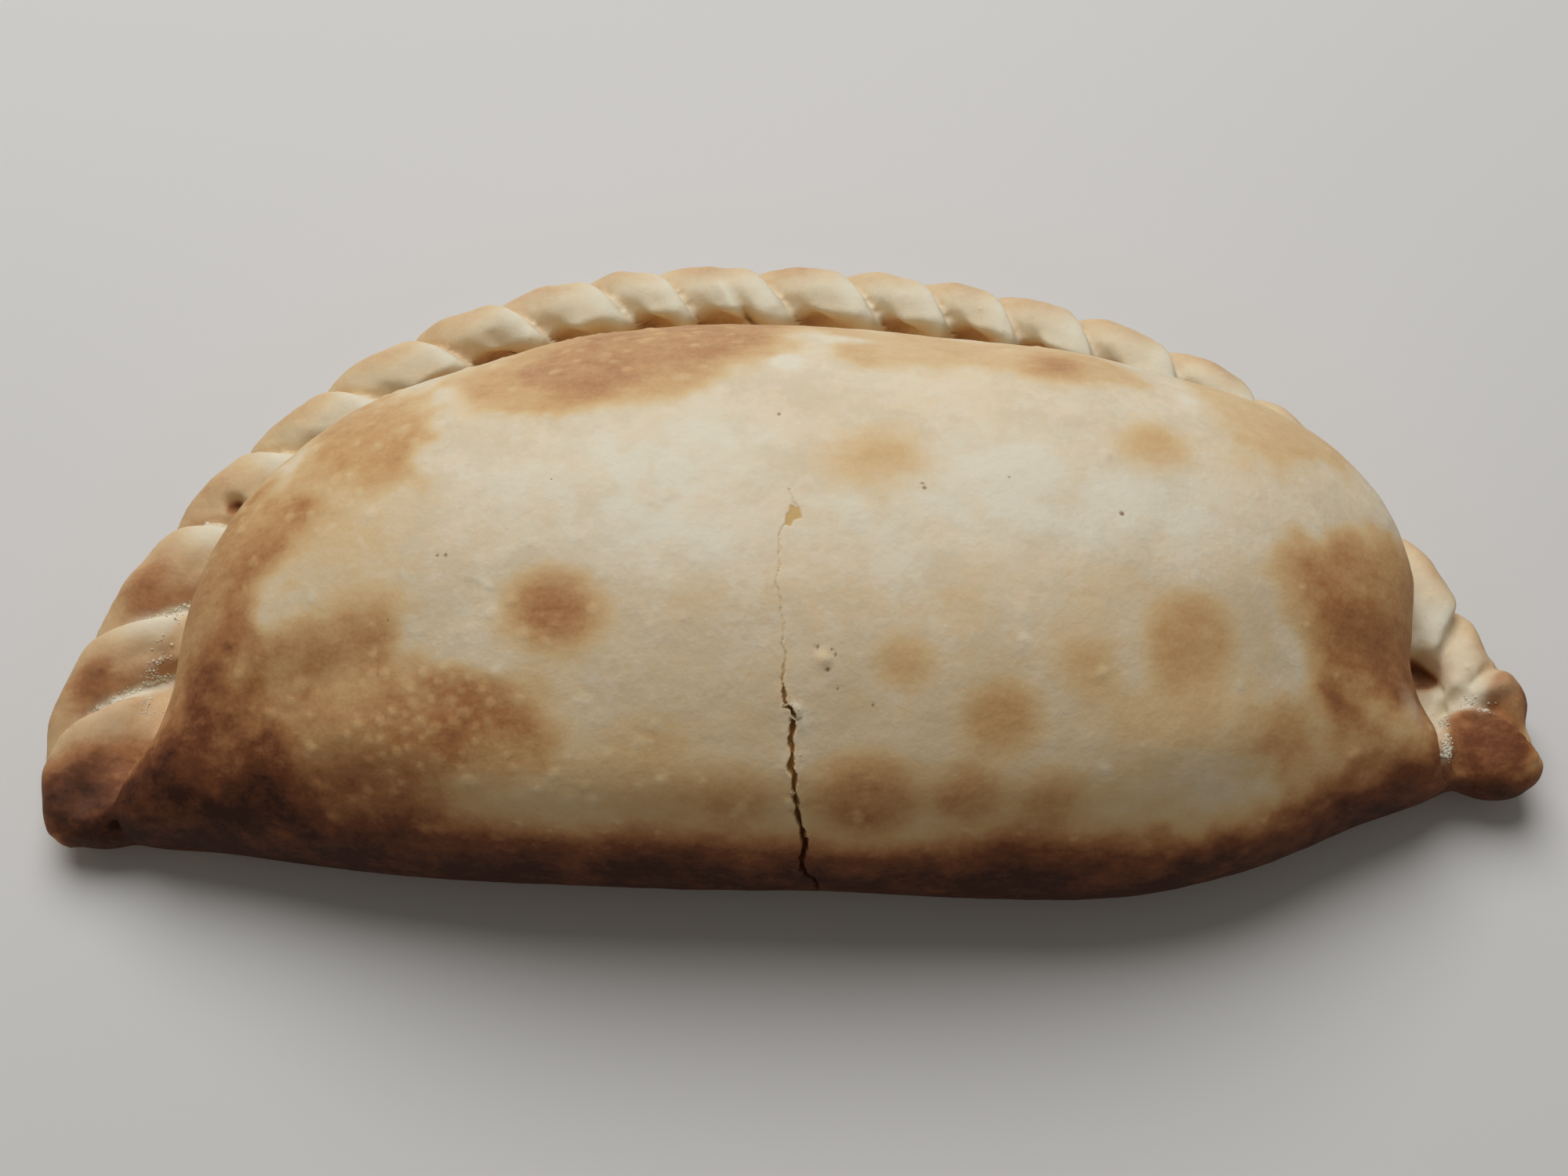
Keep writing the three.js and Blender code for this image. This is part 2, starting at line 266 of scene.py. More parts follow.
# What is browned at the two ends, partly painted shade on their lower sides and in the knot's hollow, with a
# height as well: x, y, z, radius, strength, softness.
END_TOAST_AND_SHADE = (
    (86.2, -26.6, 10, 6.8, 0.79, 0.45),
    (88.5, -29, 3, 8.5, 0.97, 0.5),
    (82, -31, 5, 6, 0.95, 0.6),
    (90, -19.6, 9, 5.0, 0.59, 0.4),
    (92, -19, 4, 6.5, 0.84, 0.5),
    (81.4, -13.4, 8.5, 2.6, 0.44, 0.6),
    (82.0, -15.6, 9.6, 1.8, 0.46, 0.6),
    (79.0, -15.4, 7.5, 2.2, 0.74, 0.6),
    (-72.3, 7.0, 10, 1.5, 0.72, 0.5),
    (-87.0, -33.5, 8, 7.0, 0.93, 0.6),
    (-79, -24, 12, 4.5, 0.48, 0.8),
    (-82, -39, 5, 9, 1.0, 0.6),
    (-75, -24, 18, 5.0, 0.54, 0.8),
    (-73, -14, 18, 5.5, 0.46, 0.8),
)
# Flour rubbed into the crust, on the crown also a painted highlight: x, y, half length, half width, turn in
# degrees, strength, softness.
FLOUR_AND_HIGHLIGHT_SPOTS = (
    (-26, -5, 11, 5, -8, 0.40, 0.8),
    (-12, 0, 10, 5, 0, 0.60, 0.8),
    (-10, -9, 8, 6, 0, 0.42, 0.7),
    (24, 0, 9, 4, -10, 0.40, 0.7),
    (27, -7.5, 11, 6, -8, 0.60, 0.6),
    (43, -6.5, 10, 5, 0, 0.46, 0.7),
    (8, -10.5, 9, 5, 0, 0.40, 0.7),
    (-18, -14, 9, 5, 0, 0.30, 0.7),
    (21, -16.5, 10, 3, 0, 0.16, 0.6),
    (-0.5, 13.8, 1.7, 1.4, 0, 0.95, 0.6),
    (5, 18.8, 5, 1.3, 0, 0.5, 0.7),
    (74.5, -23.8, 2.6, 1.6, -40, 0.24, 0.8),
    (48.5, 10.7, 1.3, 2.2, 30, 0.7, 0.7),
)
# How much flour lies on the back of the dome, at its edge there and in the grooves of the rope.
BACK_FLOUR = 0.12
BACK_EDGE_FLOUR = 0.45
GROOVE_FLOUR = 0.6
# The direction that the floury back faces, and the one that its edge turns away from.
BACK_LEFT = (-0.6, 0.8, 0)
FRONT_TOP = (0, -0.42, 0.91)
# How many blisters are tried, the place where most gather, the least radius and how much is added at most.
BLISTERS = 320
BLISTER_CLUSTER = (-38, -31.5)
BLISTER_LEAST = 0.40
BLISTER_MORE = 1.0
# Dark specks: how deep they are, then x, y and radius of each.
SPECK_DEPTH = 0.06
SPECKS = (
    (-1.6, 4.7, 0.30), (37.8, -8.5, 0.42), (15.2, -6.3, 0.38), (15.0, -5.6, 0.25), (-40.4, -13.6, 0.30),
    (-39.4, -13.7, 0.32), (9.1, -30.9, 0.25), (5.0, -29.4, 0.22), (25.0, -4.6, 0.22), (-27.6, -5.0, 0.18),
    (2.8, -25.1, 0.34), (4.3, -25.2, 0.28), (4.9, -25.9, 0.30), (3.9, -27.4, 0.42), (-46.0, -20.4, 0.22),
)
# Single swellings and dents: x, y, z, radius and height, negative for a dent.
DENTS = (
    (3.6, -26.4, 38.3, 0.85, 0.42),
    (17.0, 19.5, 31.5, 9.0, -0.9),
    (35.0, 16.0, 31.0, 7.0, 0.8),
    (-36.0, 15.0, 32.5, 6.0, -0.5),
    (-72.3, 7.0, 11.1, 1.0, -2.4),
    (-72.6, 4.6, 10.8, 0.9, -1.4),
    (-38.2, 30.6, 11.0, 2.6, -2.0),
    (78.8, -14.6, 8.7, 1.4, -2.6),
    (79.6, -15.8, 7.9, 1.2, -1.4),
    (81.4, -12.8, 9.3, 1.8, 1.0),
    (89.0, -19.2, 10.4, 3.0, 1.1),
    (81.2, -20.2, 9.9, 1.2, -0.8),
    (86.2, -26.4, 11.5, 3.0, -0.7),
    (91.6, -28.6, 8.0, 2.2, 0.7),
    (-86.6, -33.0, 10.2, 2.6, -1.2),
)
# Raised wrinkles and pressed lines: the places (x, y, z), half width and height.
LINES = (
    (((-39.2, -17.2, 38.6), (-38.0, -16.4, 38.8), (-36.2, -16.7, 39.0), (-34.7, -17.2, 39.1)), 0.32, 0.22),
    (((-71.9, -28.6, 20.6), (-69.6, -29.1, 21.0), (-67.6, -29.2, 21.6)), 0.28, -0.3),
    (
        (
            (80.2, -20.8, 9.8), (79.6, -23.4, 11.4), (79.4, -26.6, 13.4), (80.0, -29.6, 12.2),
            (82.0, -32.0, 8.0),
        ),
        0.8, -1.1,
    ),
    (((79.2, -15.2, 8.4), (79.9, -16.6, 8.8), (80.7, -18.2, 9.6)), 0.6, -1.0),
    (((82.5, -19.4, 10.2), (85.0, -18.0, 10.1), (86.8, -16.4, 10.2), (89.6, -15.0, 8.6)), 0.9, -0.9),
    (((81.2, -22.6, 10.2), (81.0, -25.6, 12.0), (81.4, -28.4, 12.0), (83.0, -30.6, 8.6)), 0.8, 0.6),
    (
        (
            (81.4, -22.2, 10.2), (85.5, -22.0, 10.6), (87.4, -23.2, 11.1), (89.5, -24.8, 11.0),
            (91.4, -27.2, 10.2),
        ),
        0.8, 0.7,
    ),
    (
        (
            (81.0, -20.6, 10.0), (85.8, -20.2, 10.2), (88.6, -21.6, 11.0), (91.0, -23.6, 10.4),
            (93.0, -26.0, 7.0),
        ),
        0.9, -1.2,
    ),
    (((-78.4, -24.6, 13.0), (-80.6, -29.4, 11.6), (-82.4, -33.6, 10.0), (-82.8, -36.6, 8.6)), 0.9, -1.1),
)
# Where loose flour lies: places of a line, how far it spreads, and how much of it.
FLOUR_LINES = (
    (((80.6, -22.2, 10.0), (79.9, -25.5, 12.4), (80.4, -28.8, 12.6)), 0.8, 1.0),
    (((80.8, -20.4, 9.8), (83.6, -20.2, 10.2), (86.0, -21.0, 10.8)), 1.0, 0.7),
    (((-79.6, -22.5, 11.0), (-80.2, -17.0, 9.8), (-78.2, -10.0, 10.2)), 1.1, 0.2),
)
# Mottling of the browned crust: size, amount where it is pale, how much more where it is brown, and stretch.
TOAST_MOTTLES = (
    (9, 0.06, 0.10, 1.0),
    (3.2, 0.05, 0.22, 2.4),
    (1.1, 0.05, 0.14, 1.0),
    (0.45, 0.06, 0.08, 1.0),
)
# Mottling of the clouds, the flakes and the flour: size, amount and stretch.
CLOUD_MOTTLES = ((8, 5.0, 1.2), (2.6, 3.0), (0.9, 1.6))
FLAKE_MOTTLES = ((6, 9.0), (1.5, 5.0))
FLOUR_MOTTLES = ((0.5, 0.5), (1.6, 0.8))
# How fast clouds and flakes fade as the crust browns, and the most that shows of them and of the flour.
PALE_FALL = 3.2
MOST_PALE = 0.45
MOST_FLOUR = 0.8
# How white the flakes are.
FLAKE_WHITE = 0.6
# The crust's finest relief, which is only shaded, and the shares of fine mottling and of flakes in it.
BUMP_STRENGTH = 0.42
BUMP_HEIGHT = 0.3
FINE_BUMP = 0.45
FLAKE_BUMP = 0.35
# The soft lights and the room, in metres: place, width, tint.
KEY_LIGHT = ((-0.10, 0.43, 0.69), 0.7, (0.975, 0.985, 1.015))
FILL_LIGHT = ((0.25, -0.70, 0.55), 0.8, (1.0, 0.92, 0.82))
ROOM_TINT = (1.0, 0.95, 0.87, 1)
ROOM_STRENGTH = 0.14
FLOOR_REACH = 3.0
SENSOR_WIDTH = 36


def clamp_step(low, high, value):
    """0 below low, 1 above high and smooth between them."""
    share = np.clip((value - low) / (high - low), 0, 1)
    return share * share * (3 - 2 * share)


def bump(distance, width):
    """1 at distance 0, falling off over width."""
    return np.exp(-((distance / width) ** 2))


def fade_out(distance, softness):
    """1 inside a spot, 0 outside it and smooth about its edge at distance 1."""
    return 1 - clamp_step(1 - softness, 1 + softness, distance)


def waves(at, length, seed):
    """Smooth noise from about -1 to 1, with waves of that length, at each point."""
    draw = np.random.default_rng(seed)
    shuffle = draw.permutation(256)
    slopes = draw.normal(size=(256, 3))
    slopes /= np.linalg.norm(slopes, axis=1, keepdims=True)
    cell = np.floor(at / length).astype(int)
    inside = at / length - cell
    fade = inside**3 * (inside * (inside * 6 - 15) + 10)
    total = np.zeros(len(at))
    for corner in itertools.product((0, 1), repeat=3):
        key = cell + corner
        code = shuffle[(shuffle[(shuffle[key[:, 0] & 255] + key[:, 1]) & 255] + key[:, 2]) & 255]
        weight = np.prod(np.where(corner, fade, 1 - fade), axis=1)
        total += weight * np.einsum("ij,ij->i", slopes[code], inside - corner)
    return total * 1.8


def uneven_by(at, layers):
    """Waves of several lengths added up, each with its height, length and seed."""
    return sum(height * waves(at, length, seed) for height, length, seed in layers)


def smooth_line(points, steps):
    """A centripetal Catmull-Rom line through points, with that many steps between two of them."""
    points = np.array(points, dtype=float)
    padded = np.vstack([2 * points[0] - points[1], points, 2 * points[-1] - points[-2]])
    places = []
    for a, b, c, d in zip(padded, padded[1:], padded[2:], padded[3:]):
        gaps = [math.sqrt(np.linalg.norm(q - p)) for p, q in ((a, b), (b, c), (c, d))]
        out_b = (b - a) / gaps[0] - (c - a) / (gaps[0] + gaps[1]) + (c - b) / gaps[1]
        out_c = (c - b) / gaps[1] - (d - b) / (gaps[1] + gaps[2]) + (d - c) / gaps[2]
        out_b, out_c = out_b * gaps[1], out_c * gaps[1]
        for t in np.arange(steps) / steps:
            places.append(
                (2 * t**3 - 3 * t**2 + 1) * b
                + (t**3 - 2 * t**2 + t) * out_b
                + (3 * t**2 - 2 * t**3) * c
                + (t**3 - t**2) * out_c
            )
    return np.array(places + [points[-1]])


def nearest_on(line, at):
    """Index of the nearest point of a line to each point, and the distance to it."""
    index = np.empty(len(at), dtype=int)
    distance = np.empty(len(at))
    batch = 4000
    for start in range(0, len(at), batch):
        part = slice(start, start + batch)
        gaps = np.linalg.norm(at[part, None] - line[None], axis=2)
        index[part] = gaps.argmin(axis=1)
        distance[part] = gaps.min(axis=1)
    return index, distance


def along_line(places, steps):
    """A smooth line through places (x, y, z and other values), every value read along with it."""
    places = np.array(places, dtype=float)
    line = smooth_line(places[:, :3], steps)
    at = np.linspace(0, len(places) - 1, len(line))
    others = [np.interp(at, np.arange(len(places)), column) for column in places[:, 3:].T]
    return line, *others


class Skin:
    """The points of a mesh in millimetres, with their normals and what is pressed and painted on them."""

    def __init__(self, mesh):
        count = len(mesh.vertices)
        self.at = read_points(mesh)
        self.normal = read_normals(mesh)
        for name in ("lift", *PAINTED):
            setattr(self, name, np.zeros(count))
        self.find_folds()

    def find_folds(self):
        """Where each point lies on the rope: which fold, how far across it, and round the rope."""
        line = smooth_line(ROPE_LINE, 24)
        steps = np.linalg.norm(np.diff(line, axis=0), axis=1)
        along = np.concatenate([[0], np.cumsum(steps)])
        whole = along[-1]
        plan = line * (1, 1, 0)
        heading = np.gradient(plan, axis=0)
        heading /= np.linalg.norm(heading, axis=1, keepdims=True)
        outward = np.stack([-heading[:, 1], heading[:, 0], heading[:, 2]], axis=1)
        index, _ = nearest_on(plan, self.at * (1, 1, 0))
        gap = self.at - line[index]
        place = np.clip(along[index] + np.einsum("ij,ij->i", gap, heading[index]), 0, whole)
        self.aside = np.einsum("ij,ij->i", gap, outward[index])
        half = np.interp(place / whole, np.linspace(0, 1, len(ROPE_HALF_WIDTH)), ROPE_HALF_WIDTH)
        half += ROPE_TUCK * clamp_step(0, half, -self.aside)
        turn = np.arctan2(gap[:, 2] / ROPE_HALF_HEIGHT, self.aside / half)
        self.inward = -self.aside / half
        self.above = np.sin(turn)
        lead = FOLD_SWEEP * np.sin(2 * turn) - np.cos(turn)
        ends = np.minimum(place, whole - place)
        near_end = np.clip(ends / ROPE_END, 0, 1)
        starts = np.concatenate([[0], np.cumsum(FOLD_PITCHES)]) * whole / sum(FOLD_PITCHES)
        ring = place
        for _ in range(4):
            ahead = np.interp(ring, starts[: len(FOLD_LEAD)], FOLD_LEAD)
            ring = np.clip(place - ahead * lead * near_end, 0, whole - 1e-6)
        self.fold = np.searchsorted(starts, ring, side="right") - 1
        width = np.diff(starts)[self.fold]
        self.share = (ring - starts[self.fold]) / width
        self.to_groove = np.minimum(self.share, 1 - self.share) * width
        brown = (*BROWN_AND_SHADED_FOLDS, *[0] * (len(FOLD_PITCHES) - len(BROWN_AND_SHADED_FOLDS)))
        self.brown = np.array(brown)[self.fold]
        opens = clamp_step(*CREASE_OPENS, self.fold + self.share)
        self.open = CREASE_SHUT + (1 - CREASE_SHUT) * (opens * clamp_step(*CREASE_CLOSES, whole - place))
        outside = np.hypot(gap[:, 2] / ROPE_HALF_HEIGHT, self.aside / half)
        self.rope = (1 - clamp_step(1.1, 1.35, outside)) * clamp_step(-0.5, 2.0, ends)

    def snap(self, place):
        """Index of the skin's point nearest to a place (x, y, z), or to x, y on its upper side."""
        if len(place) == 3:
            return np.linalg.norm(self.at - place, axis=1).argmin()
        upper = np.flatnonzero(self.normal[:, 2] > 0.08)
        return upper[np.hypot(self.at[upper, 0] - place[0], self.at[upper, 1] - place[1]).argmin()]

    def away(self, *place):
        """Distance of each point from the skin's point nearest to a place."""
        return np.linalg.norm(self.at - self.at[self.snap(place)], axis=1)

    def spot(self, x, y, half_length, half_width, turn):
        """Distance of each point from a spot on top of the crust, in shares of the spot's own size."""
        nearest = self.snap((x, y))
        middle, normal = self.at[nearest], self.normal[nearest]
        angle = math.radians(turn)
        length = np.array((math.cos(angle), math.sin(angle), 0.0))
        length -= normal * (normal @ length)
        length /= np.linalg.norm(length)
        width = np.cross(normal, length)
        gap = self.at - middle
        deep = (gap @ normal) / max(half_length, half_width) / 3
        return np.sqrt((gap @ length / half_length) ** 2 + (gap @ width / half_width) ** 2 + deep**2)

    def lay(self, line):
        """A line moved along the normals onto the skin."""
        nearest = [self.snap(point) for point in line]
        normal = self.normal[nearest]
        return line + normal * np.einsum("ij,ij->i", self.at[nearest] - line, normal)[:, None]


def read_points(mesh):
    """The points of a mesh, in millimetres."""
    points = np.empty(len(mesh.vertices) * 3)
    mesh.vertices.foreach_get("co", points)
    return points.reshape(-1, 3) / MM


def read_normals(mesh):
    """The normals of a mesh's points."""
    normals = np.empty(len(mesh.vertices) * 3)
    mesh.vertex_normals.foreach_get("vector", normals)
    return normals.reshape(-1, 3)


def write_points(mesh, points):
    """Moves the points of a mesh to places in millimetres."""
    mesh.vertices.foreach_set("co", (points * MM).ravel())
    mesh.update()


def read_edges(mesh):
    """The two points of each edge of a mesh."""
    edges = np.empty(len(mesh.edges) * 2, dtype=np.int32)
    mesh.edges.foreach_get("vertices", edges)
    return edges.reshape(-1, 2)


def relax(points, edges, factor, rounds):
    """Moves each point towards the middle of its neighbours, by its own factor, in so many rounds."""
    one, other = edges.T
    size = len(points)
    count = np.bincount(edges.ravel(), minlength=size)
    for _ in range(rounds):
        for axis in range(3):
            values = points[:, axis]
            total = np.bincount(one, values[other], size) + np.bincount(other, values[one], size)
            points[:, axis] = values + (total / count - values) * factor
    return points


def apply_modifier(piece, kind, **settings):
    """Adds a modifier to a piece and applies it to its mesh."""
    modifier = piece.modifiers.new(kind, kind)
    for name, value in settings.items():
        setattr(modifier, name, value)
    bpy.context.view_layer.objects.active = piece
    bpy.ops.object.modifier_apply(modifier=modifier.name)


def refine(mesh, wanted):
    """Halves the edges between wanted points."""
    work = bmesh.new()
    work.from_mesh(mesh)
    edges = [edge for edge in work.edges if wanted[edge.verts[0].index] and wanted[edge.verts[1].index]]
    bmesh.ops.subdivide_edges(work, edges=edges, cuts=1, use_grid_fill=True)
    work.to_mesh(mesh)
    work.free()
    mesh.update()


def new_piece(name, mesh, body="root"):
    """A piece of the calzone that goes with a body of the frame."""
    piece = bpy.data.objects.new(name, mesh)
    bpy.context.scene.collection.objects.link(piece)
    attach(piece, body)
    return piece


def plain_skin(piece, settings):
    """An even, smooth skin over the solid, with the solid's coarse crack closed again."""
    apply_modifier(piece, "REMESH", mode="VOXEL", voxel_size=settings.grain)
    mesh = piece.data
    points = read_points(mesh)
    edges = read_edges(mesh)
    _, to_crack = nearest_on(along_line(CRACK, 4)[0], points)
    relax(points, edges, 0.5 * (1 - clamp_step(2.2, 3.0, to_crack)), CLOSING_ROUNDS)
    write_points(mesh, points)
    skin = Skin(mesh)
    dome = (1 - skin.rope) * clamp_step(9, 13, np.where(skin.aside < 0, -skin.aside, 0))
    relax(points, edges, 0.10 + 0.40 * dome, EVENING_ROUNDS)
    points[:, 2] = np.where(points[:, 2] < BASE_HEIGHT, 0, points[:, 2])
    write_points(mesh, points)
    thin_base(piece, points)


def thin_base(piece, points):
    """Coarser faces on the flat underside."""
    group = piece.vertex_groups.new(name="base")
    below = np.flatnonzero(points[:, 2] < 1e-6)
    group.add(below.tolist(), 1.0, "REPLACE")
    taken_out = 0.9 * len(below)
    ratio = 1 - taken_out / len(piece.data.polygons)
    apply_modifier(piece, "DECIMATE", vertex_group="base", ratio=ratio, use_collapse_triangulate=False)
    piece.vertex_groups.clear()


def draw_blisters(skin):
    """Seeded places of blisters, mostly where the left half is browned: point and radius."""
    draw = np.random.default_rng(5)
    paint_toast(skin)
    x = skin.at[:, 0]
    weight = (0.02 + skin.toast) * (0.10 + clamp_step(12, -16, x)) * (1 + 0.9 * waves(skin.at, 11, 51))
    weight *= (1 - skin.rope) * clamp_step(0.15, 0.45, skin.normal[:, 2])
    weight *= 0.3 + 0.7 * clamp_step(-68, -54, x)
    weight *= 1 + 3 * bump(skin.away(*BLISTER_CLUSTER), 8)
    blisters = []
    for chosen in draw.choice(len(weight), BLISTERS, p=weight / weight.sum()):
        radius = BLISTER_LEAST + BLISTER_MORE * draw.beta(1.2, 3.4)
        if all(np.linalg.norm(skin.at[chosen] - other) > radius + far for other, far in blisters):
            blisters.append((skin.at[chosen], radius))
    return blisters


def refine_skin(mesh, blisters):
    """Finer points on the rope, along the crack and at the small marks."""
    skin = Skin(mesh)
    fine = (skin.rope > 0.2) & (skin.at[:, 2] > 4) & (skin.above > -0.2)
    for middle, radius in blisters:
        fine |= np.linalg.norm(skin.at - middle, axis=1) < radius * 1.3 + 0.4
    for x, y, radius in SPECKS:
        fine |= skin.away(x, y) < radius + 1.0
    for places, half_width, _ in LINES:
        fine |= nearest_on(smooth_line(places, 8), skin.at)[1] < half_width * 2 + 0.6
    refine(mesh, fine)
    fine = np.zeros(len(mesh.vertices), dtype=bool)
    at = read_points(mesh)
    for x, y, radius in SPECKS:
        fine |= np.linalg.norm(at - skin.at[skin.snap((x, y))], axis=1) < radius + 0.6
    refine(mesh, fine)
    crack_line = skin.lay(along_line(CRACK, 6)[0])
    for reach in CRACK_REACHES:
        _, to_crack = nearest_on(crack_line, read_points(mesh))
        refine(mesh, to_crack < reach)
    points = read_points(mesh)
    wall = points[:, 2] > 1e-6
    write_points(mesh, relax(points, read_edges(mesh), 0.4 * wall, 3))


def press_swells(skin, settings):
    """The uneven dough: long soft waves on the dome, shorter ones all over."""
    x, y, z = skin.at.T
    dome = 1 - skin.rope
    above = clamp_step(1, 8, z)
    swell = uneven_by(skin.at, SWELL_WAVES)
    front = clamp_step(-24, -34, y) * clamp_step(-74, -58, x) * clamp_step(66, 50, x)
    skin.lift += settings.shoulder / MM * bump(z - SHOULDER_HEIGHT, SHOULDER_SPREAD) * front
    skin.lift += settings.swell / MM * above * (swell * (0.35 + 0.65 * dome))
    skin.lift += above * uneven_by(skin.at, SKIN_WAVES)


def ridge(share, middle, before, after):
    """1 on a ridge across a fold, falling off over before on its near side and over after on its far side."""
    gap = share - middle
    return bump(gap, np.where(gap < 0, before, after))


def lip_of(skin):
    """1 on the lip of each fold, which runs inwards from the notch and ends in a nub before the crease."""
    inner = 1 - clamp_step(FOLD_REACH - 0.04, FOLD_REACH + 0.14, skin.inward)
    lip = ridge(skin.share, *LIP) * clamp_step(-1.0, -0.55, skin.inward)
    second = ridge(skin.share, *SECOND_LIP) * clamp_step(-0.35, 0.05, skin.inward)
    return np.maximum(lip, second * (skin.fold == TWO_TAILED_FOLD)) * inner


def pocket_of(skin):
    """1 in the pocket behind each lip, where it meets the crease."""
    pocket, second = (bump(skin.share - middle, half_width) for middle, half_width in (POCKET, SECOND_POCKET))
    pocket = np.maximum(pocket, second * (skin.fold == TWO_TAILED_FOLD))
    return pocket * clamp_step(-0.15, 0.4, skin.inward) * skin.open


def crease_of(skin):
    """0 on the folds and 1 in the deep crease between them and the dome, which the pockets run into."""
    wavy = 0.05 * waves(skin.at, 6, 7) + 0.12 * pocket_of(skin) - 0.06 * ridge(skin.share, *LIP)
    return clamp_step(FOLD_REACH, FOLD_REACH + 0.18, skin.inward + wavy) * skin.open


def press_folds(skin, settings):
    """The rope's finger folds, each with a lip, a pocket behind it and a deep crease on its inner side."""
    top = clamp_step(-0.35, 0.2, skin.above)
    rise = np.minimum(skin.share / 0.86, (1 - skin.share) / 0.14) - 0.5
    outer = clamp_step(-0.2, -0.7, skin.inward) * (np.sin(np.pi * skin.share) - 0.6)
    groove = bump(skin.to_groove, 0.6) * settings.groove / MM
    scoop = bump(skin.share - 0.45, 0.2) * bump(skin.inward - 0.2, 0.3)
    crease = settings.crease / MM * crease_of(skin)
    lift = (FOLD_RISE + skin.brown) * rise + FOLD_BULGE * outer + LIP_HEIGHT * lip_of(skin)
    lift -= POCKET_DEPTH * pocket_of(skin) + groove + crease + (SCOOP_DEPTH + skin.brown) * scoop
    skin.lift += skin.rope * top * (lift + uneven_by(skin.at, FOLD_WAVES))


def press_marks(skin, blisters):
    """Blisters, specks, single dents and swellings, wrinkles and pressed lines."""
    for middle, radius in blisters:
        near = np.linalg.norm(skin.at - middle, axis=1) / radius
        skin.lift += (0.03 + 0.11 * radius) * clamp_step(0, 1, 1.15 - near)
    uneven = 0.25 * waves(skin.at, 0.5, 9)
    for x, y, radius in SPECKS:
        inside = 1 - clamp_step(0.5, 1.2, skin.away(x, y) / (0.72 * radius) + uneven)
        skin.lift -= SPECK_DEPTH * inside
        skin.speck = np.maximum(skin.speck, inside)
    for x, y, z, radius, height in DENTS:
        skin.lift += height * bump(skin.away(x, y, z), radius)
    uneven = 1 + 0.5 * waves(skin.at, 1.2, 8)
    for places, half_width, height in LINES:
        _, near = nearest_on(smooth_line(places, 12), skin.at)
        skin.lift += height * uneven * bump(near, half_width)


def press_crack(skin, settings):
    """The crack, its raised lips, and the missing flake at its upper end."""
    line, whole = along_line(CRACK, 12)
    jagged = np.stack([waves(skin.at, 1.1, 13), waves(skin.at, 1.1, 14), np.zeros(len(skin.at))], axis=1)
    index, distance = nearest_on(skin.lay(line), skin.at + 0.2 * jagged)
    missing = clamp_step(-0.15, 0.15, depth_in(skin.at, HOLE)) * clamp_step(30, 36, skin.at[:, 2])
    ragged = 1 + uneven_by(skin.at, CRACK_WAVES)
    half = np.maximum(whole[index] * CRACK_HALF_SHARE, CRACK_HALF_LEAST) * np.clip(ragged, 0.6, 1.6)
    inside = (1 - clamp_step(0.5, 1.1, distance / half)) * (1 - missing)
    open_wide = clamp_step(0.22, 0.9, whole[index])
    skin.lift -= settings.crack_depth / MM * (0.16 + 0.84 * open_wide) * inside
    lip = CRACK_LIP_HEIGHT * open_wide * bump(distance - half * 1.6, 0.6) * (1 - inside)
    skin.lift += lip - FLAKE_DEPTH * missing
    skin.crumb = np.maximum(inside * (0.3 + 0.7 * clamp_step(0.18, 0.4, whole[index])), missing)
    # Flour and a painted highlight along the crack's right lip.
    height, spread = LIP_FLOUR_AND_HIGHLIGHT
    right = skin.at[:, 0] > line[index, 0]
    skin.flour += 0.4 * bump(distance - 0.9, 0.5) * right * bump(skin.at[:, 2] - height, spread)
    lower = clamp_step(33, 22, skin.at[:, 2])
    skin.deep = (1 - missing) * open_wide * (0.5 + 0.5 * lower)


def depth_in(at, outline):
    """How far each point lies inside an outline in plan, negative outside it."""
    corners = np.array(outline)
    x, y = at[:, 0], at[:, 1]
    within = np.zeros(len(at), dtype=bool)
    edge = np.full(len(at), np.inf)
    for (ax, ay), (bx, by) in zip(corners, np.roll(corners, -1, axis=0)):
        run, rise = bx - ax, by - ay
        within ^= ((ay > y) != (by > y)) & (x < run * (y - ay) / (rise + 1e-12) + ax)
        share = np.clip(((x - ax) * run + (y - ay) * rise) / (run**2 + rise**2), 0, 1)
        edge = np.minimum(edge, np.hypot(x - ax - share * run, y - ay - share * rise))
    return np.where(within, edge, -edge)


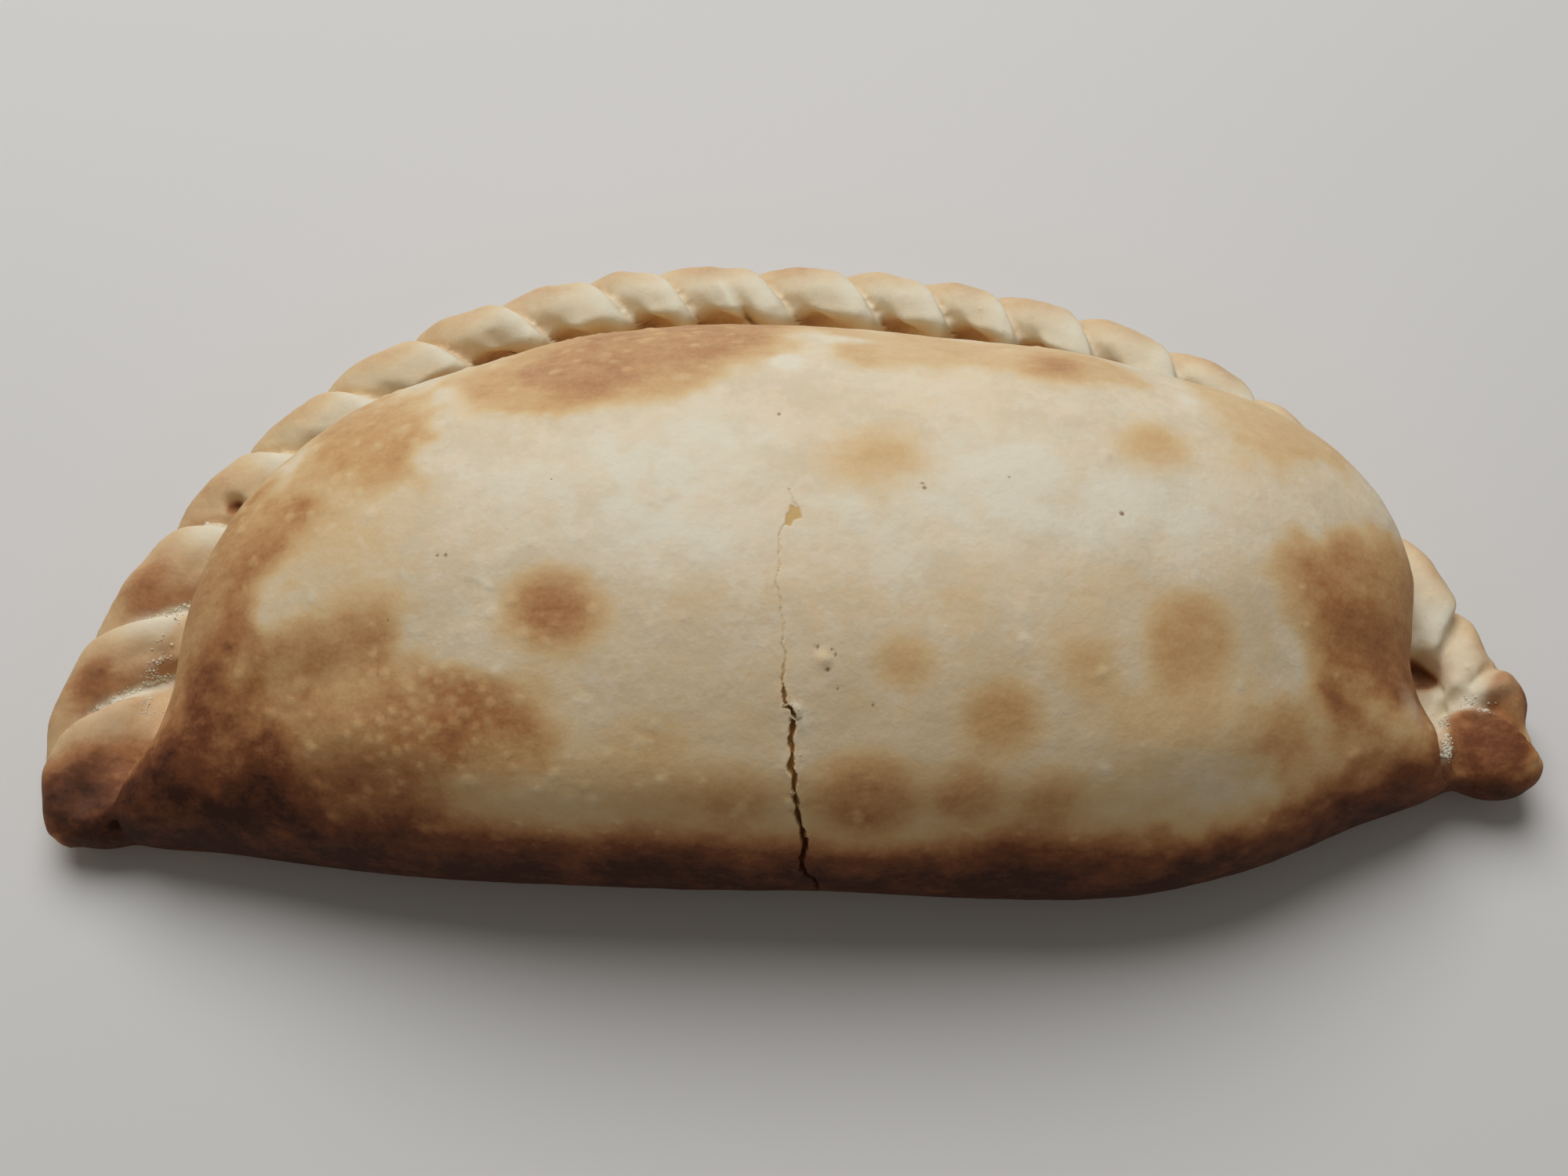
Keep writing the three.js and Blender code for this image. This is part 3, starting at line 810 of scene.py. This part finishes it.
def paint_toast(skin):
    """Browning of the dome, the front, the rope and the two ends, with painted shade on the lower front, the
    ends and in the rope's creases.
    """
    rough = uneven_by(skin.at, SPOT_WAVES)
    ragged = uneven_by(skin.at, PATCH_WAVES)
    pale = np.ones(len(skin.at))
    for x, y, half_length, half_width, turn, strength, softness in TOAST_SPOTS:
        distance = skin.spot(x, y, half_length, half_width, turn) + 0.7 * rough
        pale *= 1 - strength * fade_out(distance, softness)
    for strength, softness, outline in TOAST_AND_SHADE_PATCHES:
        depth = depth_in(skin.at, outline) / softness + ragged
        pale *= 1 - strength * clamp_step(-1, 1, depth)
    edge = np.interp(skin.at[:, 0], *np.array(FRONT_EDGE).T) + 4 * rough
    edge += 1.2 * waves(skin.at * (1, 0, 0), 13, 23)
    front = clamp_step(-26, -36, skin.at[:, 1])
    # Browning and painted shade on the lower front.
    for strength, upper, lower in FRONT_BROWN_AND_SHADE_BANDS:
        pale *= 1 - strength * clamp_step(upper, lower, skin.at[:, 2] - edge) * front
    dome = PALE_TOAST + ADDED_TOAST * (1 - pale) + 0.25 * rough
    skin.toast = dome * (1 - skin.rope) + fold_toast(skin, rough) * skin.rope
    # Browning at the ends, partly painted shade low down and in the knot's hollow.
    for x, y, z, radius, strength, softness in END_TOAST_AND_SHADE:
        near = np.linalg.norm(skin.at - (x, y, z), axis=1) / radius + rough
        skin.toast = np.maximum(skin.toast, strength * fade_out(near, softness))
    under = 1 - clamp_step(0.2, 2.5, skin.at[:, 2])
    skin.toast += (BASE_TOAST - skin.toast) * under


def nub_of(skin):
    """1 on the whitish inner end of each fold's lip."""
    return lip_of(skin) * clamp_step(-0.5, 0.2, skin.inward) * np.where(skin.fold == 0, 0.1, 1)


def fold_toast(skin, rough):
    """Browning of the rope: golden outer crests, brown first folds with painted shade on their lower sides,
    pale nubs, and painted shade at the start of each later fold, in the pockets and in the crease.
    """
    crest = clamp_step(0.1, -0.6, skin.inward) * bump(skin.share - 0.45, 0.36)
    toast = ROPE_TOAST + 0.22 * crest + 0.5 * rough
    lower = 1 - clamp_step(0.30, 0.78, skin.share + 0.4 * rough)
    # Browning of the first folds, with painted shade that darkens their lower sides.
    toast += skin.brown * (0.40 + 0.60 * lower) * ridge(skin.inward, -0.1, 0.6, 1.2)
    # Painted shade at the start of each later fold, just behind its groove.
    toast += 0.15 * bump(skin.share, 0.1) * (skin.brown < 0.2)
    toast *= 1 - 0.6 * nub_of(skin)
    # Painted shade: darker in the pockets and in the crease between rope and dome.
    toast += 0.05 * pocket_of(skin) + 0.15 * crease_of(skin)
    return toast


def floury_groove(skin, width):
    """1 in the grooves between the brown folds, where flour has gathered, falling off over width."""
    groove = bump(skin.to_groove, width) * skin.rope * (skin.brown > 0.2) * (skin.fold + skin.share > 0.6)
    return groove * clamp_step(-0.95, -0.5, skin.inward)


def dome_flour(skin, patchy):
    """Flour rubbed into the crown, with a painted highlight there, and a film of it on the back of the dome,
    thickest where it turns away.
    """
    flour = 0
    # Flour and a painted highlight on the crown.
    for x, y, half_length, half_width, turn, strength, softness in FLOUR_AND_HIGHLIGHT_SPOTS:
        distance = skin.spot(x, y, half_length, half_width, turn)
        flour += strength * fade_out(distance, softness) * np.clip(patchy, 0, 2)
    dome = 1 - skin.rope
    back = clamp_step(-0.1, 0.4, skin.normal @ BACK_LEFT) * dome * clamp_step(8, 13, skin.at[:, 2])
    turned = clamp_step(0.1, -0.06, skin.normal @ FRONT_TOP)
    flour += BACK_EDGE_FLOUR * turned * back * np.clip(patchy, 0.2, 1.2)
    return flour + BACK_FLOUR * clamp_step(2, 12, skin.at[:, 1]) * dome


def rope_film(skin):
    """A film of flour on the rope: thicker inside, on the nubs and on later folds, thin where brown."""
    inner = clamp_step(-0.8, -0.1, skin.inward)
    later = clamp_step(5.5, 8, skin.fold + skin.share)
    film = 0.15 + 0.10 * inner + 0.40 * nub_of(skin) + (0.10 + 0.16 * inner) * later
    film *= 0.15 + 0.85 * clamp_step(0.70, 0.45, skin.toast)
    return film * skin.rope * (1 - crease_of(skin))


def paint_flour(skin):
    """Flour on the dome and the rope, in the grooves and along the lines where it has gathered, and a painted
    highlight on the crown.
    """
    patchy = 1 + uneven_by(skin.at, FLOUR_WAVES)
    skin.flour += dome_flour(skin, patchy) + rope_film(skin)
    skin.flour += GROOVE_FLOUR * floury_groove(skin, 0.9) * np.clip(patchy, 0.2, 1.4)
    for places, spread, amount in FLOUR_LINES:
        _, near = nearest_on(smooth_line(places, 8), skin.at)
        skin.flour += 0.5 * amount * bump(near, spread) * np.clip(patchy, 0.2, 2)
    skin.flour = np.clip(skin.flour, 0, 1)


def paint_blisters(skin, blisters):
    """The paler skin of the blisters."""
    uneven = uneven_by(skin.at, BLISTER_WAVES)
    for middle, radius in blisters:
        near = np.linalg.norm(skin.at - middle, axis=1) / radius
        disc = 1 - clamp_step(0.5, 1.25, near + uneven)
        skin.toast *= 1 - (0.06 + 0.12 * clamp_step(0.8, 0.5, skin.toast)) * disc


def write_attributes(mesh, skin):
    """The painted values, as attributes of the mesh."""
    for name in PAINTED:
        layer = mesh.attributes.new(name, "FLOAT", "POINT")
        layer.data.foreach_set("value", getattr(skin, name))


def add_node(tree, kind, inputs=None, **settings):
    """A node with its settings, and its inputs set to values or joined to other nodes' outputs."""
    made = tree.nodes.new(kind)
    for name, value in settings.items():
        setattr(made, name, value)
    for name, value in (inputs or {}).items():
        if isinstance(value, bpy.types.NodeSocket):
            tree.links.new(value, made.inputs[name])
        else:
            made.inputs[name].default_value = value
    return made


def attribute(tree, name):
    """What is painted on the crust under that name."""
    return add_node(tree, "ShaderNodeAttribute", attribute_name=name).outputs["Fac"]


def reckon(tree, operation, *values):
    """The outcome of a Math node."""
    return add_node(tree, "ShaderNodeMath", dict(enumerate(values)), operation=operation).outputs[0]


def clamped(tree, value, low, high):
    """A value kept between low and high."""
    return reckon(tree, "MINIMUM", reckon(tree, "MAXIMUM", value, low), high)


def mix_colours(tree, share, low, high):
    """The low colour, changed into the high one by a share."""
    return add_node(tree, "ShaderNodeMix", {0: share, 6: low, 7: high}, data_type="RGBA").outputs[2]


def ramp_of(tree, share, stops):
    """A colour ramp through stops of (place, colour)."""
    made = add_node(tree, "ShaderNodeValToRGB", {"Fac": share})
    ramp = made.color_ramp
    while len(ramp.elements) < len(stops):
        ramp.elements.new(0.5)
    for element, (place, colour) in zip(ramp.elements, stops):
        element.position = place
        element.color = (*colour, 1)
    return made.outputs["Color"]


def mottle_group():
    """Shader group: soft mottling at a scale in millimetres, as a value about 0 and as a height."""
    found = bpy.data.node_groups.get("Baked mottle")
    if found:
        return found
    group = bpy.data.node_groups.new("Baked mottle", "ShaderNodeTree")
    for name, default in (("Size", 2.0), ("Amount", 0.1), ("Stretch", 1.0)):
        socket = group.interface.new_socket(name, in_out="INPUT", socket_type="NodeSocketFloat")
        socket.default_value = default
    group.interface.new_socket("Shift", in_out="OUTPUT", socket_type="NodeSocketFloat")
    group.interface.new_socket("Height", in_out="OUTPUT", socket_type="NodeSocketFloat")
    entry = group.nodes.new("NodeGroupInput")
    leave = group.nodes.new("NodeGroupOutput")
    place = add_node(group, "ShaderNodeTexCoord").outputs["Object"]
    thin = add_node(group, "ShaderNodeCombineXYZ", {"X": 1.0, "Y": entry.outputs["Stretch"], "Z": 1.0})
    stretched = add_node(
        group, "ShaderNodeVectorMath", {0: place, 1: thin.outputs[0]}, operation="MULTIPLY"
    ).outputs[0]
    scale = reckon(group, "DIVIDE", 1 / MM, entry.outputs["Size"])
    noise = add_node(
        group, "ShaderNodeTexNoise", {"Vector": stretched, "Scale": scale, "Detail": 3.0, "Roughness": 0.55}
    ).outputs["Fac"]
    centred = reckon(group, "SUBTRACT", noise, 0.5)
    shift = reckon(group, "MULTIPLY", centred, entry.outputs["Amount"])
    group.links.new(shift, leave.inputs["Shift"])
    group.links.new(noise, leave.inputs["Height"])
    return group


def mottle(tree, size, amount, stretch=1.0):
    """What the mottle group puts out for these values."""
    values = {"Size": size, "Amount": amount, "Stretch": stretch}
    return add_node(tree, "ShaderNodeGroup", values, node_tree=mottle_group()).outputs


def mottles(tree, *layers):
    """The shifts of several mottle groups added up, each with its own size, amount and stretch."""
    shifts = [mottle(tree, *layer)["Shift"] for layer in layers]
    return functools.reduce(lambda total, shift: reckon(tree, "ADD", total, shift), shifts)


def new_material(name):
    """A material with an empty tree, its shader and the tree."""
    material = bpy.data.materials.new(name)
    material.use_nodes = True
    tree = material.node_tree
    tree.nodes.clear()
    shader = add_node(tree, "ShaderNodeBsdfPrincipled")
    leave = add_node(tree, "ShaderNodeOutputMaterial")
    tree.links.new(shader.outputs[0], leave.inputs["Surface"])
    return material, tree, shader


def toasted_colour(tree, baked_and_shaded, colours):
    """The crust's colour by how far it is baked and painted with shade, with mottling that is stronger where
    it is brown.
    """
    toast = baked_and_shaded
    for size, pale, brown, stretch in TOAST_MOTTLES:
        amount = reckon(tree, "MULTIPLY_ADD", baked_and_shaded, brown, pale)
        toast = reckon(tree, "ADD", toast, mottle(tree, size, amount, stretch)["Shift"])
    stops = (
        (0.0, colours.floury),
        (0.14, colours.cream),
        (0.30, colours.tan),
        (0.46, colours.golden),
        (0.62, colours.brown),
        (0.80, colours.dark),
        (1.0, colours.burnt),
    )
    return ramp_of(tree, toast, stops)


def cloudy_colour(tree, base, pale, flaky, colours):
    """Dull clouds and whitish flakes in the pale crust."""
    cloud = mottles(tree, *CLOUD_MOTTLES)
    cloud = clamped(tree, reckon(tree, "ADD", cloud, 0.35), 0.0, 1.0)
    base = mix_colours(tree, reckon(tree, "MULTIPLY", pale, cloud), base, (*colours.dull, 1))
    return mix_colours(tree, reckon(tree, "MULTIPLY", flaky, FLAKE_WHITE), base, (*colours.flour, 1))


def floury_colour(tree, base, colours):
    """Flour over the crust, uneven, and thicker than its share where there is much of it; it carries the
    painted highlights as well.
    """
    flour = attribute(tree, "flour")
    uneven = mottles(tree, *FLOUR_MOTTLES)
    thick = reckon(tree, "ADD", reckon(tree, "MULTIPLY_ADD", flour, 0.8, 0.6), uneven)
    dusty = clamped(tree, reckon(tree, "MULTIPLY", flour, thick), 0.0, MOST_FLOUR)
    return mix_colours(tree, dusty, base, (*colours.flour, 1))


def cracked_colour(tree, base, colours):
    """The crumb in the crack and under the missing flake, and the dark specks."""
    stops = ((0.0, colours.flake), (0.5, colours.crumb), (1.0, colours.deep_crumb))
    crumb = ramp_of(tree, attribute(tree, "deep"), stops)
    base = mix_colours(tree, attribute(tree, "crumb"), base, crumb)
    return mix_colours(tree, attribute(tree, "speck"), base, (*colours.speck, 1))


def crust_material(colours):
    """Baked crust: cream to dark brown by its painted browning and shade, with flour, crumb and specks."""
    material, tree, shader = new_material("Baked crust")
    # Browning and painted shade, as painted on the crust.
    baked_and_shaded = attribute(tree, "toast")
    pale = clamped(tree, reckon(tree, "MULTIPLY_ADD", baked_and_shaded, -PALE_FALL, 1.0), 0.0, MOST_PALE)
    flaky = clamped(tree, mottles(tree, *FLAKE_MOTTLES), 0.0, 1.0)
    flaky = reckon(tree, "MULTIPLY", flaky, pale)
    base = toasted_colour(tree, baked_and_shaded, colours)
    base = cloudy_colour(tree, base, pale, flaky, colours)
    base = floury_colour(tree, base, colours)
    base = cracked_colour(tree, base, colours)
    tree.links.new(base, shader.inputs["Base Color"])
    fine = mottle(tree, 0.8, 1.0)["Height"]
    coarse = mottle(tree, 2.8, 1.0, 1.1)["Height"]
    height = reckon(tree, "MULTIPLY_ADD", fine, FINE_BUMP, coarse)
    height = reckon(tree, "MULTIPLY_ADD", flaky, FLAKE_BUMP, height)
    relief = add_node(
        tree, "ShaderNodeBump", {"Height": height, "Strength": BUMP_STRENGTH, "Distance": BUMP_HEIGHT * MM}
    )
    tree.links.new(relief.outputs["Normal"], shader.inputs["Normal"])
    rough = reckon(tree, "ADD", mottle(tree, 1.6, 0.2)["Shift"], 0.68)
    tree.links.new(rough, shader.inputs["Roughness"])
    shader.inputs["Subsurface Weight"].default_value = 0.12
    shader.inputs["Subsurface Radius"].default_value = (1.0, 0.5, 0.25)
    shader.inputs["Subsurface Scale"].default_value = 0.002
    shader.inputs["Specular IOR Level"].default_value = 0.12
    return material


def grain_material(name, tint):
    """Dry, matt grains of flour or crumb."""
    material, tree, shader = new_material(name)
    light = reckon(tree, "ADD", mottle(tree, 0.6, 0.5)["Shift"], 0.5)
    shade = tuple(0.85 * part for part in tint)
    tree.links.new(mix_colours(tree, light, (*shade, 1), (*tint, 1)), shader.inputs["Base Color"])
    shader.inputs["Roughness"].default_value = 0.9
    shader.inputs["Specular IOR Level"].default_value = 0.2
    return material


def grains(places, normals, sizes, seed):
    """A mesh of small uneven grains, one lying at each place."""
    draw = np.random.default_rng(seed)
    ball = bmesh.new()
    bmesh.ops.create_icosphere(ball, subdivisions=1, radius=1.0)
    corners = np.array([corner.co for corner in ball.verts])
    faces = np.array([[corner.index for corner in face.verts] for face in ball.faces])
    ball.free()
    points, sides = [], []
    for place, normal, size in zip(places, normals, sizes):
        spin, _ = np.linalg.qr(draw.normal(size=(3, 3)))
        spin[:, 0] *= np.linalg.det(spin)
        shape = corners * draw.uniform(0.7, 1.25, (len(corners), 1)) * draw.uniform(0.6, 1.2, 3)
        sides.append(faces + len(points) * len(corners))
        points.append(shape @ spin * size + place + normal * size * 0.1)
    mesh = bpy.data.meshes.new("grains")
    mesh.from_pydata((np.concatenate(points) * MM).tolist(), [], np.concatenate(sides).tolist())
    mesh.update()
    return mesh


def measure(name, description, default, least=0.0):
    """A length that a user may change."""
    return bpy.props.FloatProperty(
        name=name, description=description, default=default, min=least, unit="LENGTH"
    )


def colour(name, description, default):
    """A colour that a user may change."""
    return bpy.props.FloatVectorProperty(
        name=name, description=description, default=default, subtype="COLOR", size=3, min=0, max=1
    )


class CalzoneCrust(bpy.types.PropertyGroup):
    """Sizes of the crust."""

    grain: measure("Grain", "Size of the crust's even mesh", 0.00088, 0.0005)
    swell: measure("Swell", "Height of the dough's unevenness", 0.001)
    shoulder: measure("Shoulder", "How far the front swells out above its browned lower part", 0.0012)
    groove: measure("Groove", "Depth of the line between two finger folds", 0.0006)
    crease: measure("Crease", "Depth of the crease between rope and dome", 0.003)
    crack_depth: measure("Crack depth", "Depth of the crack where it is widest", 0.001)


class CalzoneColours(bpy.types.PropertyGroup):
    """Colours of the crust, from pale to burnt, and of its crumb."""

    floury: colour("Floury", "Pale crust", (0.80, 0.70, 0.55))
    cream: colour("Cream", "Crust that is baked but not browned", (0.77, 0.63, 0.43))
    tan: colour("Tan", "Faintly browned crust", (0.71, 0.51, 0.27))
    golden: colour("Golden", "Golden crust", (0.61, 0.365, 0.16))
    brown: colour("Brown", "Browned crust", (0.43, 0.195, 0.073))
    dark: colour("Dark", "Dark brown crust", (0.20, 0.067, 0.026))
    burnt: colour("Burnt", "The darkest crust", (0.055, 0.019, 0.010))
    flour: colour("Flour", "Flour rubbed into the crust and lying on it", (0.79, 0.735, 0.575))
    grains: colour("Grains", "Loose flour", (0.80, 0.74, 0.59))
    dull: colour("Dull", "Greyish clouds in the pale crust", (0.63, 0.535, 0.37))
    flake: colour("Flake", "Crust under a missing flake", (0.61, 0.405, 0.16))
    crumb: colour("Crumb", "Crumb inside the crack's lips", (0.42, 0.205, 0.05))
    deep_crumb: colour("Deep crumb", "Crumb deep in the crack", (0.12, 0.038, 0.011))
    speck: colour("Speck", "Dark specks", (0.27, 0.155, 0.07))


class CalzoneGrains(bpy.types.PropertyGroup):
    """Loose flour and crumbs."""

    flour_count: bpy.props.IntProperty(name="Flour count", description="Grains of loose flour", default=2600)
    flour_size: measure("Flour size", "Usual width of a grain of flour", 0.0002)
    crumb_count: bpy.props.IntProperty(name="Crumb count", description="Chips along the crack", default=14)
    crumb_size: measure("Crumb size", "Usual width of a chip", 0.0003)


class CalzoneStage(bpy.types.PropertyGroup):
    """View, light and floor."""

    elevation: bpy.props.FloatProperty(
        name="Elevation", description="How far the camera stands above the table", default=math.radians(65),
        subtype="ANGLE",
    )
    distance: measure("Distance", "From the camera to the calzone", 0.2756)
    lens: bpy.props.FloatProperty(name="Lens", description="Focal length in millimetres", default=50)
    target: bpy.props.FloatVectorProperty(
        name="Target", description="Point that the camera looks at", default=(-0.00092, -0.00537, 0.012),
        subtype="TRANSLATION",
    )
    key_power: bpy.props.FloatProperty(
        name="Key light", description="Power of the soft light behind", default=5.7, unit="POWER",
    )
    fill_power: bpy.props.FloatProperty(
        name="Fill light", description="Power of the weak light in front", default=0.25, unit="POWER",
    )
    floor: colour("Floor", "Colour of the floor", (0.70, 0.685, 0.66))


class CALZONE_OT_crust(bpy.types.Operator):
    """Shape, press and paint the crust over the solid"""

    bl_idname = "calzone.crust"
    bl_label = "Crust"

    def execute(self, context):
        settings = context.scene.calzone_crust
        crust = new_piece("crust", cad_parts["calzone"].data.copy())
        plain_skin(crust, settings)
        blisters = draw_blisters(Skin(crust.data))
        refine_skin(crust.data, blisters)
        skin = Skin(crust.data)
        press_swells(skin, settings)
        press_folds(skin, settings)
        press_marks(skin, blisters)
        press_crack(skin, settings)
        paint_toast(skin)
        paint_flour(skin)
        paint_blisters(skin, blisters)
        points = skin.at + skin.normal * skin.lift[:, None]
        relax(points, read_edges(crust.data), 0.35 * skin.rope * (skin.at[:, 2] > 3), 2)
        points[:, 2] = np.maximum(points[:, 2], 0)
        write_points(crust.data, points)
        write_attributes(crust.data, skin)
        crust.data.materials.clear()
        crust.data.materials.append(crust_material(context.scene.calzone_colours))
        crust.data.shade_smooth()
        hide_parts("calzone")
        return {"FINISHED"}


class CALZONE_OT_flour(bpy.types.Operator):
    """Scatter loose flour in the folds and at the knot"""

    bl_idname = "calzone.flour"
    bl_label = "Flour"

    def execute(self, context):
        settings = context.scene.calzone_grains
        skin = Skin(bpy.data.objects["crust"].data)
        at, normal = skin.at, skin.normal
        weight = floury_groove(skin, 0.5)
        for places, spread, amount in FLOUR_LINES:
            _, near = nearest_on(smooth_line(places, 8), at)
            weight += 0.6 * amount * bump(near, spread * 0.7)
        weight *= clamp_step(0.1, 0.5, normal[:, 2]) * (0.1 + clamp_step(-0.2, 0.4, waves(at, 1.8, 45)))
        draw = np.random.default_rng(41)
        chosen = draw.choice(len(at), settings.flour_count, p=weight / weight.sum())
        sizes = settings.flour_size / MM * draw.lognormal(0, 0.45, len(chosen)) / 2
        aside = draw.normal(0, 0.14, (len(chosen), 3))
        aside -= normal[chosen] * np.einsum("ij,ij->i", aside, normal[chosen])[:, None]
        places = at[chosen] + aside
        piece = new_piece("flour", grains(places, normal[chosen], sizes, 42))
        piece.data.materials.append(grain_material("Loose flour", context.scene.calzone_colours.grains))
        return {"FINISHED"}


class CALZONE_OT_crumbs(bpy.types.Operator):
    """Scatter pale chips along the lips of the crack"""

    bl_idname = "calzone.crumbs"
    bl_label = "Crumbs"

    def execute(self, context):
        settings = context.scene.calzone_grains
        crust = bpy.data.objects["crust"].data
        at, normal = read_points(crust), read_normals(crust)
        line, whole = along_line(CRACK, 12)
        index, near = nearest_on(line, at)
        right = at[:, 0] > line[index, 0]
        height, spread = CHIPPED_LIP
        upper = bump(at[:, 2] - height, spread)
        weight = clamp_step(0.3, 0.6, whole[index]) * bump(near - whole[index] / 2 - 0.35, 0.3)
        weight *= right * (0.03 + upper)
        draw = np.random.default_rng(43)
        chosen = draw.choice(len(at), settings.crumb_count, p=weight / weight.sum())
        sizes = settings.crumb_size / MM * draw.lognormal(0, 0.4, len(chosen)) / 2
        places = at[chosen] - normal[chosen] * 0.4 * sizes[:, None]
        piece = new_piece("crumbs", grains(places, normal[chosen], sizes, 44))
        piece.data.materials.append(grain_material("Crust chips", context.scene.calzone_colours.cream))
        return {"FINISHED"}


class CALZONE_OT_stage(bpy.types.Operator):
    """Set the floor, the soft lights and the camera"""

    bl_idname = "calzone.stage"
    bl_label = "Stage"

    def execute(self, context):
        settings = context.scene.calzone_stage
        make_floor(settings)
        make_lights(context.scene, settings)
        make_camera(context.scene, settings)
        context.scene.view_settings.view_transform = "Standard"
        return {"FINISHED"}


def make_floor(settings):
    """A wide, pale, plain floor."""
    mesh = bpy.data.meshes.new("floor")
    corners = [(x * FLOOR_REACH, y * FLOOR_REACH, 0) for x, y in ((-1, -1), (1, -1), (1, 1), (-1, 1))]
    mesh.from_pydata(corners, [], [(0, 1, 2, 3)])
    floor = bpy.data.objects.new("floor", mesh)
    bpy.context.scene.collection.objects.link(floor)
    material, _, shader = new_material("Pale floor")
    shader.inputs["Base Color"].default_value = (*settings.floor, 1)
    shader.inputs["Roughness"].default_value = 0.8
    mesh.materials.append(material)


def aim(item, target):
    """Turns a camera or a light towards a point."""
    item.rotation_mode = "QUATERNION"
    item.rotation_quaternion = (Vector(target) - item.location).to_track_quat("-Z", "Y")


def soft_light(name, place, width, tint, power, target):
    """A round area light that looks at the target."""
    lamp = bpy.data.lights.new(name, "AREA")
    lamp.shape = "DISK"
    lamp.size = width
    lamp.energy = power
    lamp.color = tint
    item = bpy.data.objects.new(name, lamp)
    bpy.context.scene.collection.objects.link(item)
    item.location = place
    aim(item, target)


def make_lights(scene, settings):
    """The key light behind, the weak fill in front and the light of the room."""
    soft_light("key", *KEY_LIGHT, settings.key_power, settings.target)
    soft_light("fill", *FILL_LIGHT, settings.fill_power, settings.target)
    world = bpy.data.worlds.new("Soft room")
    world.use_nodes = True
    background = world.node_tree.nodes["Background"]
    background.inputs["Color"].default_value = ROOM_TINT
    background.inputs["Strength"].default_value = ROOM_STRENGTH
    scene.world = world


def make_camera(scene, settings):
    """The camera in front of the calzone, at the settings' elevation."""
    camera = bpy.data.objects.new("camera", bpy.data.cameras.new("camera"))
    scene.collection.objects.link(camera)
    camera.data.lens = settings.lens
    camera.data.sensor_width = SENSOR_WIDTH
    back = Vector((0, -math.cos(settings.elevation), math.sin(settings.elevation)))
    camera.location = Vector(settings.target) + back * settings.distance
    camera.data.clip_start = 0.01
    aim(camera, settings.target)
    scene.camera = camera


OPERATORS = (CALZONE_OT_crust, CALZONE_OT_flour, CALZONE_OT_crumbs, CALZONE_OT_stage)
SETTINGS = {
    "calzone_crust": CalzoneCrust,
    "calzone_colours": CalzoneColours,
    "calzone_grains": CalzoneGrains,
    "calzone_stage": CalzoneStage,
}


class CALZONE_PT_panel(bpy.types.Panel):
    """The calzone's settings and the steps that build it"""

    bl_label = "Calzone"
    bl_space_type = "VIEW_3D"
    bl_region_type = "UI"
    bl_category = "Calzone"

    def draw(self, context):
        for operator in OPERATORS:
            self.layout.operator(operator.bl_idname)
        for name, kind in SETTINGS.items():
            box = self.layout.box()
            box.label(text=kind.__doc__)
            for value in kind.__annotations__:
                box.prop(getattr(context.scene, name), value)


def register():
    """Makes the settings, the operators and the panel known to Blender."""
    for kind in (*SETTINGS.values(), *OPERATORS, CALZONE_PT_panel):
        bpy.utils.register_class(kind)
    for name, kind in SETTINGS.items():
        setattr(bpy.types.Scene, name, bpy.props.PointerProperty(type=kind))


def unregister():
    """Takes them out again."""
    for name in SETTINGS:
        delattr(bpy.types.Scene, name)
    for kind in (CALZONE_PT_panel, *reversed(OPERATORS), *reversed(tuple(SETTINGS.values()))):
        bpy.utils.unregister_class(kind)


def main():
    """Builds the calzone piece by piece."""
    register()
    bpy.ops.calzone.crust()
    bpy.ops.calzone.flour()
    bpy.ops.calzone.crumbs()
    bpy.ops.calzone.stage()


if __name__ == "__main__":
    main()
